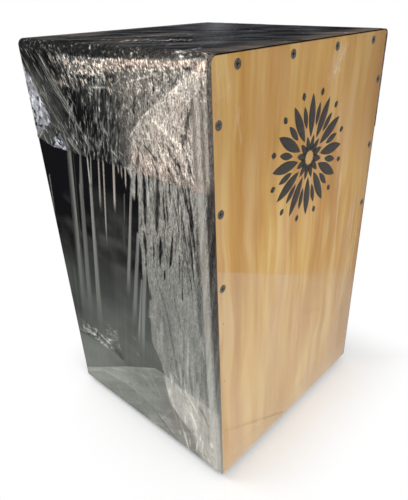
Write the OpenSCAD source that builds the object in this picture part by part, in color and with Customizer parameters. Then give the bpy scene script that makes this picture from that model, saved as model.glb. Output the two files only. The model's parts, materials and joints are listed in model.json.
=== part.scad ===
// Cajon: a wooden box drum that the player sits on, wrapped in clear stretch film.
// Millimetres. The origin lies on the floor under the middle of the box, +Z is up,
// and the playing face looks along -Y.

/* [Body] */
// Outer width of the body, across the playing face
body_w = 300; // [240:1:360]
// Outer depth of the body, playing face and back panel included
body_d = 284; // [230:1:340]
// Height of the body without its feet
body_h = 480; // [430:1:560]
// Thickness of the seat board
seat_t = 18; // [15:0.5:24]
// Thickness of the two side boards
side_t = 15; // [12:0.5:20]
// Thickness of the base board
base_t = 15; // [12:0.5:20]
// Radius of the two rounded edges of the seat
seat_round = 6.5; // [4:0.5:14]
// Side of the square glue blocks in the corners
block_side = 18; // [12:1:24]
// Gap from the ends of a glue block to the playing face and to the back panel
block_end_gap = 20; // [5:1:40]

/* [Panels] */
// Thickness of the playing face
tapa_t = 3; // [2.5:0.1:4]
// Thickness of the back panel
back_t = 5; // [3:0.5:8]
// How far the edges of both panels stay inside the outline of the body
panel_inset = 0.6; // [0.5:0.1:3]
// Diameter of the sound hole in the back panel
hole_d = 120; // [90:1:140]
// Distance from the seat down to the middle of the sound hole
hole_drop = 160; // [120:1:200]

/* [Screws and brads] */
// Head diameter of the countersunk screws in the two panels
head_d = 8.8; // [7:0.1:10]
// Shank diameter of those screws
shank_d = 3.9; // [3:0.1:4.5]
// Length of those screws
screw_len = 30; // [20:1:40]
// Depth of a head's outer face under the panel's surface
head_sink = 0.2; // [0:0.05:0.5]
// Number of screws along the top edge of a panel
top_screws = 4; // [3:1:5]
// Distance from the side of the body to the first screw of the top edge
top_margin = 32; // [25:1:45]
// Number of screws down each side of the playing face
side_screws = 3; // [2:1:3]
// Distance from the seat down to the first screw of a side edge
side_first = 53; // [35:1:60]
// Spacing of the screws down a side of the playing face
side_pitch = 78.5; // [60:0.5:85]
// Number of brads down each side of the playing face, under the screws
side_brads = 3; // [2:1:4]
// Distance from the seat down to the first brad
brad_first = 252; // [240:1:270]
// Height of the last brad over the bottom of the body
brad_last = 72; // [40:1:90]
// Number of brads along the bottom edge of the playing face
base_brads = 4; // [2:1:5]
// Diameter of a brad
brad_d = 1.8; // [1.2:0.1:2.4]
// Length of a brad
brad_len = 25; // [15:1:35]
// Number of screws down each side of the back panel
back_side_screws = 4; // [3:1:5]
// Play around a screw, brad or dowel in its hole
hole_play = 0.05; // [0.02:0.01:0.15]

/* [Dowels] */
// Diameter of the wooden dowels
dowel_d = 8; // [6:0.5:9]
// Length of the wooden dowels
dowel_len = 30; // [20:1:34]
// Depth of a seat dowel in the seat board
dowel_in_seat = 12; // [8:0.5:14]
// Depth of a base dowel in the side board
dowel_in_side = 9; // [6:0.5:11]
// Number of dowels along each joint
dowel_count = 4; // [3:1:5]
// Distance from the ends of a joint to its first and last dowel
dowel_margin = 45; // [35:1:60]

/* [Feet] */
// Height of the rubber feet under the body
foot_h = 10; // [8:0.5:16]
// Diameter of a foot where it meets the base
foot_d = 38; // [30:1:50]
// Diameter of a foot on the floor
foot_tip_d = 34; // [28:1:46]
// Distance from the outline of the body to the middle of a foot
foot_inset = 36; // [28:1:60]
// Thickness of rubber between the base and the washer
foot_web = 4.5; // [3:0.5:5]
// Diameter of the recess for the washer
foot_recess_d = 15; // [13:0.5:18]
// Diameter of the washer in a foot
washer_d = 14; // [12:0.5:16]
// Thickness of the washer in a foot
washer_t = 1.2; // [0.8:0.1:1.6]
// Head diameter of the screw in a foot
foot_head_d = 8; // [7:0.1:9]
// Head height of the screw in a foot
foot_head_h = 2.4; // [1.5:0.1:2.5]
// Shank diameter of the screw in a foot
foot_shank_d = 4; // [3:0.1:4.5]
// Shank length of the screw in a foot
foot_screw_len = 15; // [12:0.5:17]

/* [Snare] */
// Distance from the seat down to the axis of the snare bar
bar_drop = 150; // [140:1:200]
// Diameter of the snare bar
bar_d = 22; // [20:0.5:28]
// Gap between the snare bar and the playing face
bar_gap = 1.5; // [1:0.1:3]
// Diameter of the turned ends of the snare bar
journal_d = 16; // [12:0.5:18]
// Length of the turned ends of the snare bar
journal_len = 12; // [8:0.5:13]
// Play of the turned ends in their bearings, all round
journal_play = 0.08; // [0.03:0.01:0.1]
// Play of the bar between its bearings, at each end
end_play = 0.5; // [0.3:0.1:1]
// Thickness of a bearing block, along the bar
bearing_t = 14; // [13.5:0.5:20]
// Height of a bearing block
bearing_h = 46; // [44:1:60]
// Wood of a bearing block behind its screws
bearing_back = 12; // [8:1:20]
// Gap between a bearing block and the playing face
bearing_gap = 1; // [0.5:0.1:2]
// Head diameter of the screws that hold a bearing block
bearing_head_d = 7.4; // [6:0.1:8]
// Shank diameter of the screws that hold a bearing block
bearing_shank_d = 3.5; // [3:0.1:4]
// Length of the screws that hold a bearing block
bearing_screw_len = 22; // [18:0.5:24]
// Height of the bearing screws over and under the bar's axis
bearing_screw_off = 12; // [8:0.5:15]
// Wood between the bearing screws and the tips of the screws from the playing face
bearing_screw_gap = 3; // [2:0.5:6]
// Number of coiled strands in one snare set
strand_count = 8; // [4:1:10]
// Spacing of the strands
strand_pitch = 7; // [5:0.1:8]
// Outer diameter of a coiled strand
strand_d = 2.4; // [1.6:0.1:2.4]
// Length of a strand, its end in the clip included
strand_len = 110; // [80:1:116]
// Length of a strand's end in the clip
strand_in_clip = 6; // [4:0.5:6.5]
// Gap between the strand tips and the playing face with the snare on
tip_gap = 0.3; // [0.2:0.05:0.6]
// Thickness of a snare clip
clip_t = 3.2; // [3:0.1:3.6]
// Height of a snare clip
clip_h = 12.5; // [12:0.5:15]
// Part of a snare clip's height that lies under the bar's axis
clip_under = 2.5; // [1.5:0.1:3]
// Gap between a snare clip and the playing face
clip_gap = 0.8; // [0.6:0.05:1.2]
// Metal of a snare clip beyond its outer strands
clip_margin = 4; // [3:0.5:6]
// Distance from the middle of the box to the middle of a snare set
set_offset = 62; // [50:1:65]
// Head diameter of the screws in a snare clip
clip_head_d = 4.8; // [4:0.1:5]
// Shank diameter of the screws in a snare clip
clip_shank_d = 2.6; // [2:0.1:3]
// Length of the screws in a snare clip
clip_screw_len = 12; // [9:0.5:14]
// Distance of the two screws of a clip from its middle
clip_screw_off = 14; // [7:0.5:21]
// Reach of the lever behind the bar's axis, knob included
lever_reach = 92; // [70:1:110]
// Diameter of the lever's knob
knob_d = 18; // [14:0.5:24]
// Diameter of the lever at its knob
lever_tip_d = 9; // [8:0.5:11]
// Diameter of the lever at its shoulder
lever_d = 13; // [11:0.5:16]
// Diameter of the lever's tenon in the bar
tenon_d = 8; // [6:0.5:9]
// Length of the lever's tenon in the bar
tenon_len = 14; // [10:0.5:15]

/* [Film] */
// Thickness of a layer of film
film_t = 0.3; // [0.2:0.05:0.5]
// Gap between a layer of film and what it is wound on
film_gap = 0.2; // [0.1:0.05:0.3]
// Length of the film folded down both sides from the seat
flap_len = 105; // [60:1:150]
// Film cut away round the sound hole
film_hole_margin = 6; // [2:0.5:15]

/* [Hidden] */
$fn = 64;
over = 1;
body_black = [0.06, 0.06, 0.065];
pine = [0.80, 0.62, 0.38];
beech = [0.80, 0.66, 0.48];
black_steel = [0.13, 0.13, 0.13];
bright_steel = [0.72, 0.72, 0.74];
black_rubber = [0.09, 0.09, 0.09];
clear_film = [0.80, 0.82, 0.84, 0.35];

// Heights over the floor
floor_z = foot_h;
top_z = foot_h + body_h;
seat_z = top_z - seat_t;
base_z = foot_h + base_t;
hole_z = top_z - hole_drop;

// Places across and along the body
half_w = body_w / 2;
inner_half_w = half_w - side_t;
front_y = -body_d / 2;
back_y = body_d / 2;
shell_front = front_y + tapa_t;
shell_back = back_y - back_t;
shell_d = shell_back - shell_front;

// Shapes that the screws share
head_rim = 0.3;
tip_len = 5;
tip_d = 0.8;
recess_share = 0.52;
recess_w_share = 0.13;
recess_depth_share = 0.22;

// Screw rows: [x, z] on a panel
side_edge_x = half_w - side_t / 2;
top_pitch = (body_w - 2 * top_margin) / (top_screws - 1);
top_row = [for (i = [0 : top_screws - 1]) [top_margin - half_w + i * top_pitch, top_z - seat_t / 2]];
tapa_side_rows = [for (s = [-1, 1], i = [0 : side_screws - 1])
    [s * side_edge_x, top_z - side_first - i * side_pitch]];
brad_pitch = (body_h - brad_last - brad_first) / (side_brads - 1);
brad_side_rows = [for (s = [-1, 1], i = [0 : side_brads - 1])
    [s * side_edge_x, top_z - brad_first - i * brad_pitch]];
base_row_z = foot_h + base_t / 2;
base_brad_pitch = (body_w - 2 * top_margin) / (base_brads - 1);
base_brad_row = [for (i = [0 : base_brads - 1]) [top_margin - half_w + i * base_brad_pitch, base_row_z]];
back_pitch = (body_h - 2 * side_first) / (back_side_screws - 1);
back_side_rows = [for (s = [-1, 1], i = [0 : back_side_screws - 1])
    [s * side_edge_x, top_z - side_first - i * back_pitch]];
back_base_row = [for (p = top_row) [p.x, base_row_z]];
tapa_screw_places = concat(top_row, tapa_side_rows);
tapa_brad_places = concat(brad_side_rows, base_brad_row);
back_screw_places = concat(top_row, back_side_rows, back_base_row);

// Dowels along the depth of the body
dowel_pitch = (shell_d - 2 * dowel_margin) / (dowel_count - 1);
dowel_ys = [for (i = [0 : dowel_count - 1]) shell_front + dowel_margin + i * dowel_pitch];

// Feet
foot_x = half_w - foot_inset;
foot_y = body_d / 2 - foot_inset;
foot_bore_d = foot_shank_d + 1;
recess_depth = foot_h - foot_web;
washer_z = recess_depth - washer_t;

// Snare: the bar turns about a line along X at bar_y, bar_z
bar_r = bar_d / 2;
bar_y = shell_front + bar_gap + bar_r;
bar_z = top_z - bar_drop;
bar_len = 2 * (inner_half_w - bearing_t - end_play);
clip_front = bar_r + bar_gap - clip_gap;
flat_off = clip_front - clip_t;
strand_off = flat_off + clip_t / 2;
strand_foot = clip_h - clip_under - strand_in_clip;
strand_tip = strand_foot + strand_len;
clip_w = (strand_count - 1) * strand_pitch + strand_d + 2 * clip_margin;
clip_screw_z = (strand_foot - clip_under) / 2 - 0.2;
tip_slack = bar_r + bar_gap - strand_off - strand_d / 2 - tip_gap;
snare_lean = asin(tip_slack / strand_tip);
tenon_end = bar_r - tenon_len + hole_play;
knob_middle = lever_reach - knob_d / 2;
bearing_front = shell_front + bearing_gap;
bearing_screw_y = front_y + head_sink + screw_len + bearing_screw_gap + bearing_shank_d / 2;
bearing_d = bearing_screw_y + bearing_back - bearing_front;

// Film layers over the body: [gap under the layer, outer face of the layer]
wrap_in = film_gap;
wrap_out = wrap_in + film_t;
cap_in = wrap_out + film_gap;
cap_out = cap_in + film_t;

// A block given by its lowest corner and its highest corner
module block(low, high) translate(low) cube(high - low);

// Outline of the body seen from the front, from z low to z high, its two top corners rounded
module outline(w, low, high, r) intersection() {
    translate([-w / 2, low]) square([w, high - low]);
    union() {
        translate([-w / 2, low]) square([w, high - r - low]);
        translate([-w / 2 + r, low]) square([w - 2 * r, high - low]);
        for (s = [-1, 1]) translate([s * (w / 2 - r), high - r]) circle(r);
    }
}

// That outline carried along Y, from y near to y far
module outline_solid(w, low, high, r, near, far)
    translate([0, far, 0]) rotate([90, 0, 0]) linear_extrude(far - near) outline(w, low, high, r);

// Countersunk screw along -Z, its head's outer face at z = 0
module screw_shape(head, shank, len, grow = 0, mouth = 0) {
    cone = (head - shank) / 2;
    rotate_extrude() polygon([
        [0, mouth], [0, -len - grow], [tip_d / 2 + grow, -len - grow], [shank / 2 + grow, tip_len - len],
        [shank / 2 + grow, -head_rim - cone], [head / 2 + grow, -head_rim], [head / 2 + grow, mouth]
    ]);
}

// Cross recess of a screw head
module cross_recess(head) {
    arm = head * recess_share;
    wide = head * recess_w_share;
    deep = head * recess_depth_share;
    for (turn = [0, 90]) rotate(turn)
        translate([-arm / 2, -wide / 2, -deep]) cube([arm, wide, deep + over]);
}

module screw(head, shank, len) difference() {
    screw_shape(head, shank, len);
    cross_recess(head);
}

// The hole that a screw sits in, open outwards over its head
module screw_hole(head, shank, len) screw_shape(head, shank, len, hole_play, over);

// Places on the playing face, pointing out of it
module on_tapa(places, sink) for (p = places)
    translate([p.x, front_y + sink, p.y]) rotate([90, 0, 0]) children();

// Places on the back panel, pointing out of it
module on_back(places, sink) for (p = places)
    translate([p.x, back_y - sink, p.y]) rotate([-90, 0, 0]) children();

module panel_screw() screw(head_d, shank_d, screw_len);
module panel_screw_hole() screw_hole(head_d, shank_d, screw_len);
module brad(grow = 0, mouth = 0) translate([0, 0, -brad_len - grow])
    cylinder(d = brad_d + 2 * grow, h = brad_len + grow + mouth);

// All the holes that the panel fasteners make, through whatever they meet
module fastener_holes() {
    on_tapa(tapa_screw_places, head_sink) panel_screw_hole();
    on_tapa(tapa_brad_places, 0) brad(hole_play, over);
    on_back(back_screw_places, head_sink) panel_screw_hole();
}

// Upright dowels between the sides and the seat
module seat_dowel_rods(grow = 0) for (s = [-1, 1], y = dowel_ys)
    translate([s * side_edge_x, y, seat_z + dowel_in_seat - dowel_len - grow])
        cylinder(d = dowel_d + 2 * grow, h = dowel_len + 2 * grow);

// Level dowels between the sides and the base
module base_dowel_rods(grow = 0) for (s = [-1, 1], y = dowel_ys)
    translate([s * (inner_half_w + dowel_in_side + grow), y, base_row_z]) rotate([0, -90 * s, 0])
        cylinder(d = dowel_d + 2 * grow, h = dowel_len + 2 * grow);

// Places under the four feet
module at_foot(sx, sy) translate([sx * foot_x, sy * foot_y, 0]) children();
module at_feet() for (sx = [-1, 1], sy = [-1, 1]) at_foot(sx, sy) children();

// Pan-head screw of a foot, pointing up, its head under the washer
module foot_screw() translate([0, 0, washer_z]) difference() {
    union() {
        translate([0, 0, -foot_head_h])
            cylinder(d1 = foot_head_d - foot_head_h, d2 = foot_head_d, h = foot_head_h / 2);
        translate([0, 0, -foot_head_h / 2]) cylinder(d = foot_head_d, h = foot_head_h / 2);
        cylinder(d = foot_shank_d, h = foot_screw_len);
    }
    translate([0, 0, -foot_head_h]) rotate([180, 0, 0]) cross_recess(foot_head_d);
}

// Places of the two bearing screws of one block, pointing at the middle of the box
module at_bearing_screws(s) for (t = [-1, 1])
    translate([s * (inner_half_w - bearing_t), bearing_screw_y, bar_z + t * bearing_screw_off])
        rotate([0, -90 * s, 0]) children();

module bearing_screw_hole() screw_hole(bearing_head_d, bearing_shank_d, bearing_screw_len);

// The turning snare: drawn about its axis, then set in place leaning at the playing face
module on_bar() translate([0, bar_y, bar_z]) rotate([snare_lean, 0, 0]) children();
module at_clip_screws(s) for (t = [-1, 1])
    translate([s * set_offset + t * clip_screw_off, -clip_front, clip_screw_z]) rotate([90, 0, 0]) children();
module clip_screw_hole() screw_hole(clip_head_d, clip_shank_d, clip_screw_len);
module strands(s, grow = 0) for (i = [0 : strand_count - 1])
    translate([s * set_offset + (i - (strand_count - 1) / 2) * strand_pitch, -strand_off, strand_foot - grow])
        cylinder(d = strand_d + 2 * grow, h = strand_len + grow);

// Body boards

module seat_panel() color(body_black) difference() {
    outline_solid(body_w, seat_z, top_z, seat_round, shell_front, shell_back);
    seat_dowel_rods(hole_play);
    fastener_holes();
}

module side_board(s) color(body_black) difference() {
    translate([s < 0 ? -half_w : inner_half_w, shell_front, floor_z])
        cube([side_t, shell_d, seat_z - floor_z]);
    seat_dowel_rods(hole_play);
    base_dowel_rods(hole_play);
    fastener_holes();
    at_bearing_screws(s) bearing_screw_hole();
}

module base_panel() color(body_black) difference() {
    block([-inner_half_w, shell_front, floor_z], [inner_half_w, shell_back, base_z]);
    base_dowel_rods(hole_play);
    fastener_holes();
    at_feet() translate([0, 0, washer_z])
        cylinder(d = foot_shank_d + 2 * hole_play, h = foot_screw_len + hole_play);
}

// Panels on the front and the back

module panel_blank(near, far) outline_solid(body_w - 2 * panel_inset, floor_z + panel_inset,
    top_z - panel_inset, seat_round - panel_inset, near, far);

module tapa() color(pine) difference() {
    panel_blank(front_y, shell_front);
    fastener_holes();
}

module back_panel() color(body_black) difference() {
    panel_blank(shell_back, back_y);
    fastener_holes();
    translate([0, shell_back - over, hole_z]) rotate([-90, 0, 0]) cylinder(d = hole_d, h = back_t + 2 * over);
}

// Joinery

module seat_dowels() color(beech) seat_dowel_rods();
module base_dowels() color(beech) base_dowel_rods();

module glue_block(s, low) color(pine)
    translate([s < 0 ? -inner_half_w : inner_half_w - block_side, shell_front + block_end_gap, low])
        cube([block_side, shell_d - 2 * block_end_gap, block_side]);

// Fasteners of the panels

module tapa_screws() color(black_steel) on_tapa(tapa_screw_places, head_sink) panel_screw();
module tapa_brads() color(black_steel) on_tapa(tapa_brad_places, 0) brad();
module back_screws() color(black_steel) on_back(back_screw_places, head_sink) panel_screw();

// Feet

module foot(sx, sy) color(black_rubber) at_foot(sx, sy) difference() {
    cylinder(d1 = foot_tip_d, d2 = foot_d, h = foot_h);
    translate([0, 0, -over]) cylinder(d = foot_bore_d, h = foot_h + 2 * over);
    translate([0, 0, -over]) cylinder(d = foot_recess_d, h = recess_depth + over);
}

module foot_washers() color(bright_steel) at_feet() translate([0, 0, washer_z]) difference() {
    cylinder(d = washer_d, h = washer_t);
    translate([0, 0, -over]) cylinder(d = foot_shank_d + 2 * hole_play, h = washer_t + 2 * over);
}

module foot_screws() color(bright_steel) at_feet() foot_screw();

// Bearings of the snare bar

module snare_bearing(s) color(beech) difference() {
    translate([s < 0 ? -inner_half_w : inner_half_w - bearing_t, bearing_front, bar_z - bearing_h / 2])
        cube([bearing_t, bearing_d, bearing_h]);
    translate([s * (inner_half_w - bearing_t / 2), bar_y, bar_z]) rotate([0, 90, 0])
        cylinder(d = journal_d + 2 * journal_play, h = bearing_t + 2 * over, center = true);
    at_bearing_screws(s) bearing_screw_hole();
}

module bearing_screws() color(black_steel) for (s = [-1, 1])
    at_bearing_screws(s) screw(bearing_head_d, bearing_shank_d, bearing_screw_len);

// The snare that turns

module snare_bar() color(beech) on_bar() difference() {
    rotate([0, 90, 0]) union() {
        cylinder(d = bar_d, h = bar_len, center = true);
        cylinder(d = journal_d, h = bar_len + 2 * journal_len, center = true);
    }
    block([-bar_len / 2 - over, -bar_r - over, -bar_r - over], [bar_len / 2 + over, -flat_off, bar_r + over]);
    rotate([-90, 0, 0]) translate([0, 0, bar_r - tenon_len])
        cylinder(d = tenon_d + 2 * hole_play, h = tenon_len + over);
    for (s = [-1, 1]) at_clip_screws(s) clip_screw_hole();
}

// Turned lever along +Y: tenon, shoulder, taper and round knob
module snare_lever() color(beech) on_bar() rotate([-90, 0, 0]) rotate_extrude() difference() {
    union() {
        polygon([
            [0, tenon_end], [tenon_d / 2, tenon_end], [tenon_d / 2, bar_r], [lever_d / 2, bar_r],
            [lever_tip_d / 2, knob_middle], [0, knob_middle]
        ]);
        translate([0, knob_middle]) circle(d = knob_d);
    }
    translate([-knob_d, 0]) square([knob_d, 2 * lever_reach]);
}

module snare_clip(s) color(bright_steel) on_bar() difference() {
    translate([s * set_offset - clip_w / 2, -clip_front, -clip_under]) cube([clip_w, clip_t, clip_h]);
    strands(s, hole_play / 2);
    at_clip_screws(s) clip_screw_hole();
}

module snare_strands(s) color(bright_steel) on_bar() strands(s);

module clip_screws() color(black_steel) on_bar() for (s = [-1, 1])
    at_clip_screws(s) screw(clip_head_d, clip_shank_d, clip_screw_len);

// Film

// The body's outline grown by a gap, open at the bottom where low lies under it
module grown_body(gap, low, end_gap)
    outline_solid(body_w + 2 * gap, low, top_z + gap, seat_round + gap, front_y - end_gap, back_y + end_gap);

// Film round the four sides and over the seat, cut open at the sound hole
module film_wrap() color(clear_film) difference() {
    grown_body(wrap_out, floor_z, wrap_out);
    grown_body(wrap_in, floor_z - over, wrap_in);
    translate([0, back_y, hole_z]) rotate([-90, 0, 0])
        cylinder(d = hole_d + 2 * film_hole_margin, h = 2 * over, center = true);
}

// Second layer over the seat, folded down both sides
module film_cap() color(clear_film) difference() {
    grown_body(cap_out, top_z - flap_len, wrap_out);
    grown_body(cap_in, top_z - flap_len - over, wrap_out + over);
}

seat_panel();
side_board(-1);  // left_side
side_board(1);  // right_side
base_panel();
back_panel();
tapa();
seat_dowels();
base_dowels();
glue_block(-1, seat_z - block_side);  // glue_block_top_left
glue_block(1, seat_z - block_side);  // glue_block_top_right
glue_block(-1, base_z);  // glue_block_bottom_left
glue_block(1, base_z);  // glue_block_bottom_right
tapa_screws();
tapa_brads();
back_screws();
foot(-1, -1);  // foot_front_left
foot(1, -1);  // foot_front_right
foot(-1, 1);  // foot_back_left
foot(1, 1);  // foot_back_right
foot_washers();
foot_screws();
snare_bearing(-1);  // snare_bearing_left
snare_bearing(1);  // snare_bearing_right
bearing_screws();
snare_bar();
snare_lever();
snare_clip(-1);  // snare_clip_left
snare_clip(1);  // snare_clip_right
snare_strands(-1);  // snare_strands_left
snare_strands(1);  // snare_strands_right
clip_screws();
film_wrap();
film_cap();
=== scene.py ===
"""Looks of a cajon in its stretch film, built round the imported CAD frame.

The functions work in millimetres and the meshes are stored in metres. On a side of the box, u runs from
the front edge to the back one and v runs up from the lower edge of the boards.
"""

import json

import bpy
import numpy as np
from mathutils import Matrix, Vector


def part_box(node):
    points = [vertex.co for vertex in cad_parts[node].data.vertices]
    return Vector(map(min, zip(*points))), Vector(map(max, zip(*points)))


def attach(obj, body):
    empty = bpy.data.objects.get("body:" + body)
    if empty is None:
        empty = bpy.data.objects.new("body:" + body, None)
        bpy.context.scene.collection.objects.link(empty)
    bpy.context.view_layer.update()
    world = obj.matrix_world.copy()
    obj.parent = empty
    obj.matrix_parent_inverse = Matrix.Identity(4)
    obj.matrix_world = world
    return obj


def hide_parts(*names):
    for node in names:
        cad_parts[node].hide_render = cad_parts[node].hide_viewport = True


bl_info = {
    "name": "Cajon looks",
    "version": (1, 0, 0),
    "blender": (4, 5, 0),
    "location": "View3D > Sidebar > Cajon",
    "description": "Finishes, printed rosette, snare coils, stretch film and studio of a cajon",
    "category": "Object",
}

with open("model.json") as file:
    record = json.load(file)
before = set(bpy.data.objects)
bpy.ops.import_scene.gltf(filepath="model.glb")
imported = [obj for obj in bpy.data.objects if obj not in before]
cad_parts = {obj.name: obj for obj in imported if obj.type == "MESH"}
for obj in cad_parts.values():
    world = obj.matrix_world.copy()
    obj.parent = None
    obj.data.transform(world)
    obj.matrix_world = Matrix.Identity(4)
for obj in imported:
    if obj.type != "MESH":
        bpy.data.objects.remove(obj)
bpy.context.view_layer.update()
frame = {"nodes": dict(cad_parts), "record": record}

MM = 0.001


def box_mm(node):
    """Lowest and highest corner of a CAD node, in millimetres."""
    low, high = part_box(node)
    return np.array(low) / MM, np.array(high) / MM


SEAT_LOW, SEAT_HIGH = box_mm("seat_panel")
BACK_LOW, BACK_HIGH = box_mm("back_panel")
LEFT_LOW, LEFT_HIGH = box_mm("left_side")
BASE_HIGH = box_mm("base_panel")[1]
HALF_W = SEAT_HIGH[0]
FRONT = box_mm("tapa")[0][1]
BACK = BACK_HIGH[1]
BOTTOM = LEFT_LOW[2]
TOP = SEAT_HIGH[2]
WIDTH = 2 * HALF_W
DEPTH = BACK - FRONT
HEIGHT = TOP - BOTTOM


# Settings that a user would change


def colour_setting(name, description, default):
    """A colour on the panel."""
    return bpy.props.FloatVectorProperty(
        name=name, description=description, default=default, subtype="COLOR", size=3, min=0, max=1)


def size_setting(name, description, default, **limits):
    """A size on the panel, in metres."""
    return bpy.props.FloatProperty(
        name=name, description=description, default=default, unit="LENGTH", **limits)


class CajonWood(bpy.types.PropertyGroup):
    """Colours of the boards, the playing face and the small parts."""

    pine_pale: colour_setting("Pine, palest", "Cream streaks of the playing face", (0.690, 0.495, 0.208))
    pine_light: colour_setting("Pine, early wood", "Pale bands of the playing face", (0.595, 0.372, 0.121))
    pine_honey: colour_setting("Pine, honey", "Middle tone of the playing face", (0.520, 0.290, 0.084))
    pine_late: colour_setting("Pine, late wood", "Reddish bands of the playing face", (0.430, 0.220, 0.060))
    pine_pink: colour_setting("Pine, pink", "Pink feathers of the playing face", (0.56, 0.33, 0.175))
    pine_cream: colour_setting("Pine, cream", "Cream feathers of the playing face", (0.70, 0.53, 0.26))
    # The amber is a deeper orange tone over the upper middle of the playing face
    pine_amber: colour_setting("Pine, amber", "Glow in the upper playing face", (0.433, 0.194, 0.023))
    lacquer: colour_setting("Lacquer", "Black lacquer outside the box", (0.007, 0.007, 0.008))
    bare_dark: colour_setting("Bare wood, dark", "Dark fibres inside the box", (0.42, 0.28, 0.15))
    bare_pale: colour_setting("Bare wood, pale", "Pale fibres inside the box", (0.58, 0.42, 0.25))
    beech: colour_setting("Beech", "Snare bar, lever, bearing blocks and dowels", (0.55, 0.33, 0.18))


class CajonRosette(bpy.types.PropertyGroup):
    """Printed rosette on the playing face."""

    height: size_setting("Height", "Middle of the rosette over the floor", 0.376)
    radius: size_setting("Radius", "Reach of the outer dots", 0.071, min=0.02)
    petals: bpy.props.IntProperty(
        name="Petals", description="Long leaves round the middle", default=12, min=4, max=24)
    ink: colour_setting("Ink", "Colour of the print", (0.013, 0.010, 0.008))


class CajonFilm(bpy.types.PropertyGroup):
    """Stretch film round the box."""

    gap: size_setting("Gap", "Film over the boards where it lies flat", 0.0003)
    flap: size_setting("Flap", "Length of the top film down each side", 0.122)
    seat_round: size_setting("Seat rounding", "Radius of the long edges of the seat", 0.0065)
    relief: bpy.props.FloatProperty(
        name="Relief", description="Height of the wrinkles, as a factor", default=1.0, min=0,
        subtype="FACTOR")
    white: colour_setting("White", "Colour of crumpled film", (0.78, 0.78, 0.76))
    clear_tint: colour_setting("Clear film", "Paleness of the film on the playing face", (0.92, 0.81, 0.66))
    # Dark brown for the sliver at the right edge and for the painted shadows of the creases
    sliver_and_shadow_tint: colour_setting("Crease", "Dark creases on the playing face", (0.12, 0.05, 0.03))


class CajonSnare(bpy.types.PropertyGroup):
    """Coiled snare strands."""

    wire: size_setting("Wire", "Diameter of the coiled wire", 0.0005)
    pitch: size_setting("Pitch", "Rise of the coil in one turn", 0.00115)
    strands: bpy.props.IntProperty(name="Strands", description="Coils in one set", default=8, min=1)
    spacing: size_setting("Spacing", "From one coil to the next", 0.007)


class CajonStage(bpy.types.PropertyGroup):
    """Camera, lamps and floor."""

    camera: bpy.props.FloatVectorProperty(
        name="Camera", description="Place of the camera", default=(-0.43639, -0.40801, 0.53257),
        subtype="TRANSLATION", size=3)
    forward: bpy.props.FloatVectorProperty(
        name="Forward", description="Where the camera looks", default=(0.644258, 0.576617, -0.502439),
        subtype="DIRECTION", size=3)
    right: bpy.props.FloatVectorProperty(
        name="Right", description="Right of the picture", default=(0.658801, -0.752093, -0.018375),
        subtype="DIRECTION", size=3)
    lens: bpy.props.FloatProperty(
        name="Lens", description="Focal length on a 36 mm film", default=34.6775, unit="CAMERA")
    shift: bpy.props.FloatVectorProperty(
        name="Shift", description="Shift of the lens, across and up", default=(-0.04103, 0.03856), size=2)
    sky: bpy.props.FloatProperty(name="Sky", description="Level of the white room", default=0.55, min=0)
    key: bpy.props.FloatProperty(
        name="Key", description="Strength of the wide soft lamp", default=1.55, min=0)
    rim: bpy.props.FloatProperty(
        name="Rim", description="Power of the soft box behind", default=9.0, min=0, unit="POWER")


# Shader expressions


class Wire:
    """An output socket. Sums and products of wires add Math nodes to the material's tree."""

    def __init__(self, tree, socket=None):
        self.tree = tree
        self.socket = socket

    def node(self, kind, settings=None, inputs=None, output=0):
        """Add a node, apply its settings, set or link its sockets and return one of its outputs."""
        made = self.tree.nodes.new(kind)
        for key, value in (settings or {}).items():
            if key == "stops":
                ramp = made.color_ramp
                while len(ramp.elements) < len(value):
                    ramp.elements.new(1.0)
                for stop, (place, colour) in zip(ramp.elements, value):
                    stop.position = place
                    stop.color = (*colour, 1.0)
            else:
                setattr(made, key, value)
        for key, value in (inputs or {}).items():
            if isinstance(value, Wire):
                self.tree.links.new(value.socket, made.inputs[key])
            else:
                made.inputs[key].default_value = value
        return Wire(self.tree, made.outputs[output])

    def math(self, operation, *values):
        """A Math node on numbers and wires."""
        return self.node("ShaderNodeMath", {"operation": operation}, dict(enumerate(values)))

    def __add__(self, other):
        return self.math("ADD", self, other)

    __radd__ = __add__

    def __sub__(self, other):
        return self.math("SUBTRACT", self, other)

    def __rsub__(self, other):
        return self.math("SUBTRACT", other, self)

    def __mul__(self, other):
        return self.math("MULTIPLY", self, other)

    __rmul__ = __mul__

    def __abs__(self):
        return self.math("ABSOLUTE", self)

    def under(self, limit):
        """1 where the value is less than a limit."""
        return self.math("LESS_THAN", self, limit)

    def ease(self, low, high):
        """0 at low and 1 at high, by a smooth step."""
        return self.node("ShaderNodeMapRange", {"interpolation_type": "SMOOTHSTEP"},
                         {"Value": self, "From Min": low, "From Max": high})

    def blend(self, first, second):
        """The first colour where this is 0 and the second where it is 1."""
        colours = [c if isinstance(c, Wire) else (*c, 1.0) for c in (first, second)]
        return self.node("ShaderNodeMix", {"data_type": "RGBA"},
                         {0: self, 6: colours[0], 7: colours[1]}, 2)

    def stretched(self, scale):
        """A vector with each axis scaled."""
        return self.node("ShaderNodeVectorMath", {"operation": "MULTIPLY"}, {0: self, 1: scale})

    def scaled(self, factor):
        """A colour or vector times a number."""
        return self.node("ShaderNodeVectorMath", {"operation": "SCALE"}, {0: self, "Scale": factor})

    def noise(self, scale, detail=2.0, rough=0.5):
        """Noise of a vector, with cells of 1 / scale along each axis."""
        return self.node("ShaderNodeTexNoise", None, {
            "Vector": self.stretched(scale), "Scale": 1.0, "Detail": detail, "Roughness": rough})

    def axes(self):
        """The three numbers of a vector."""
        parts = self.node("ShaderNodeSeparateXYZ", None, {0: self})
        return [Wire(self.tree, parts.socket.node.outputs[k]) for k in range(3)]

    def into(self, shader, socket):
        """Link to a socket of the shader."""
        self.tree.links.new(self.socket, shader.inputs[socket])

    def bumped(self, shader, strength, distance):
        """Use this height as the shader's bump, over a distance in metres."""
        bump = self.node("ShaderNodeBump", None,
                         {"Height": self, "Strength": strength, "Distance": distance})
        bump.into(shader, "Normal")


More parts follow.
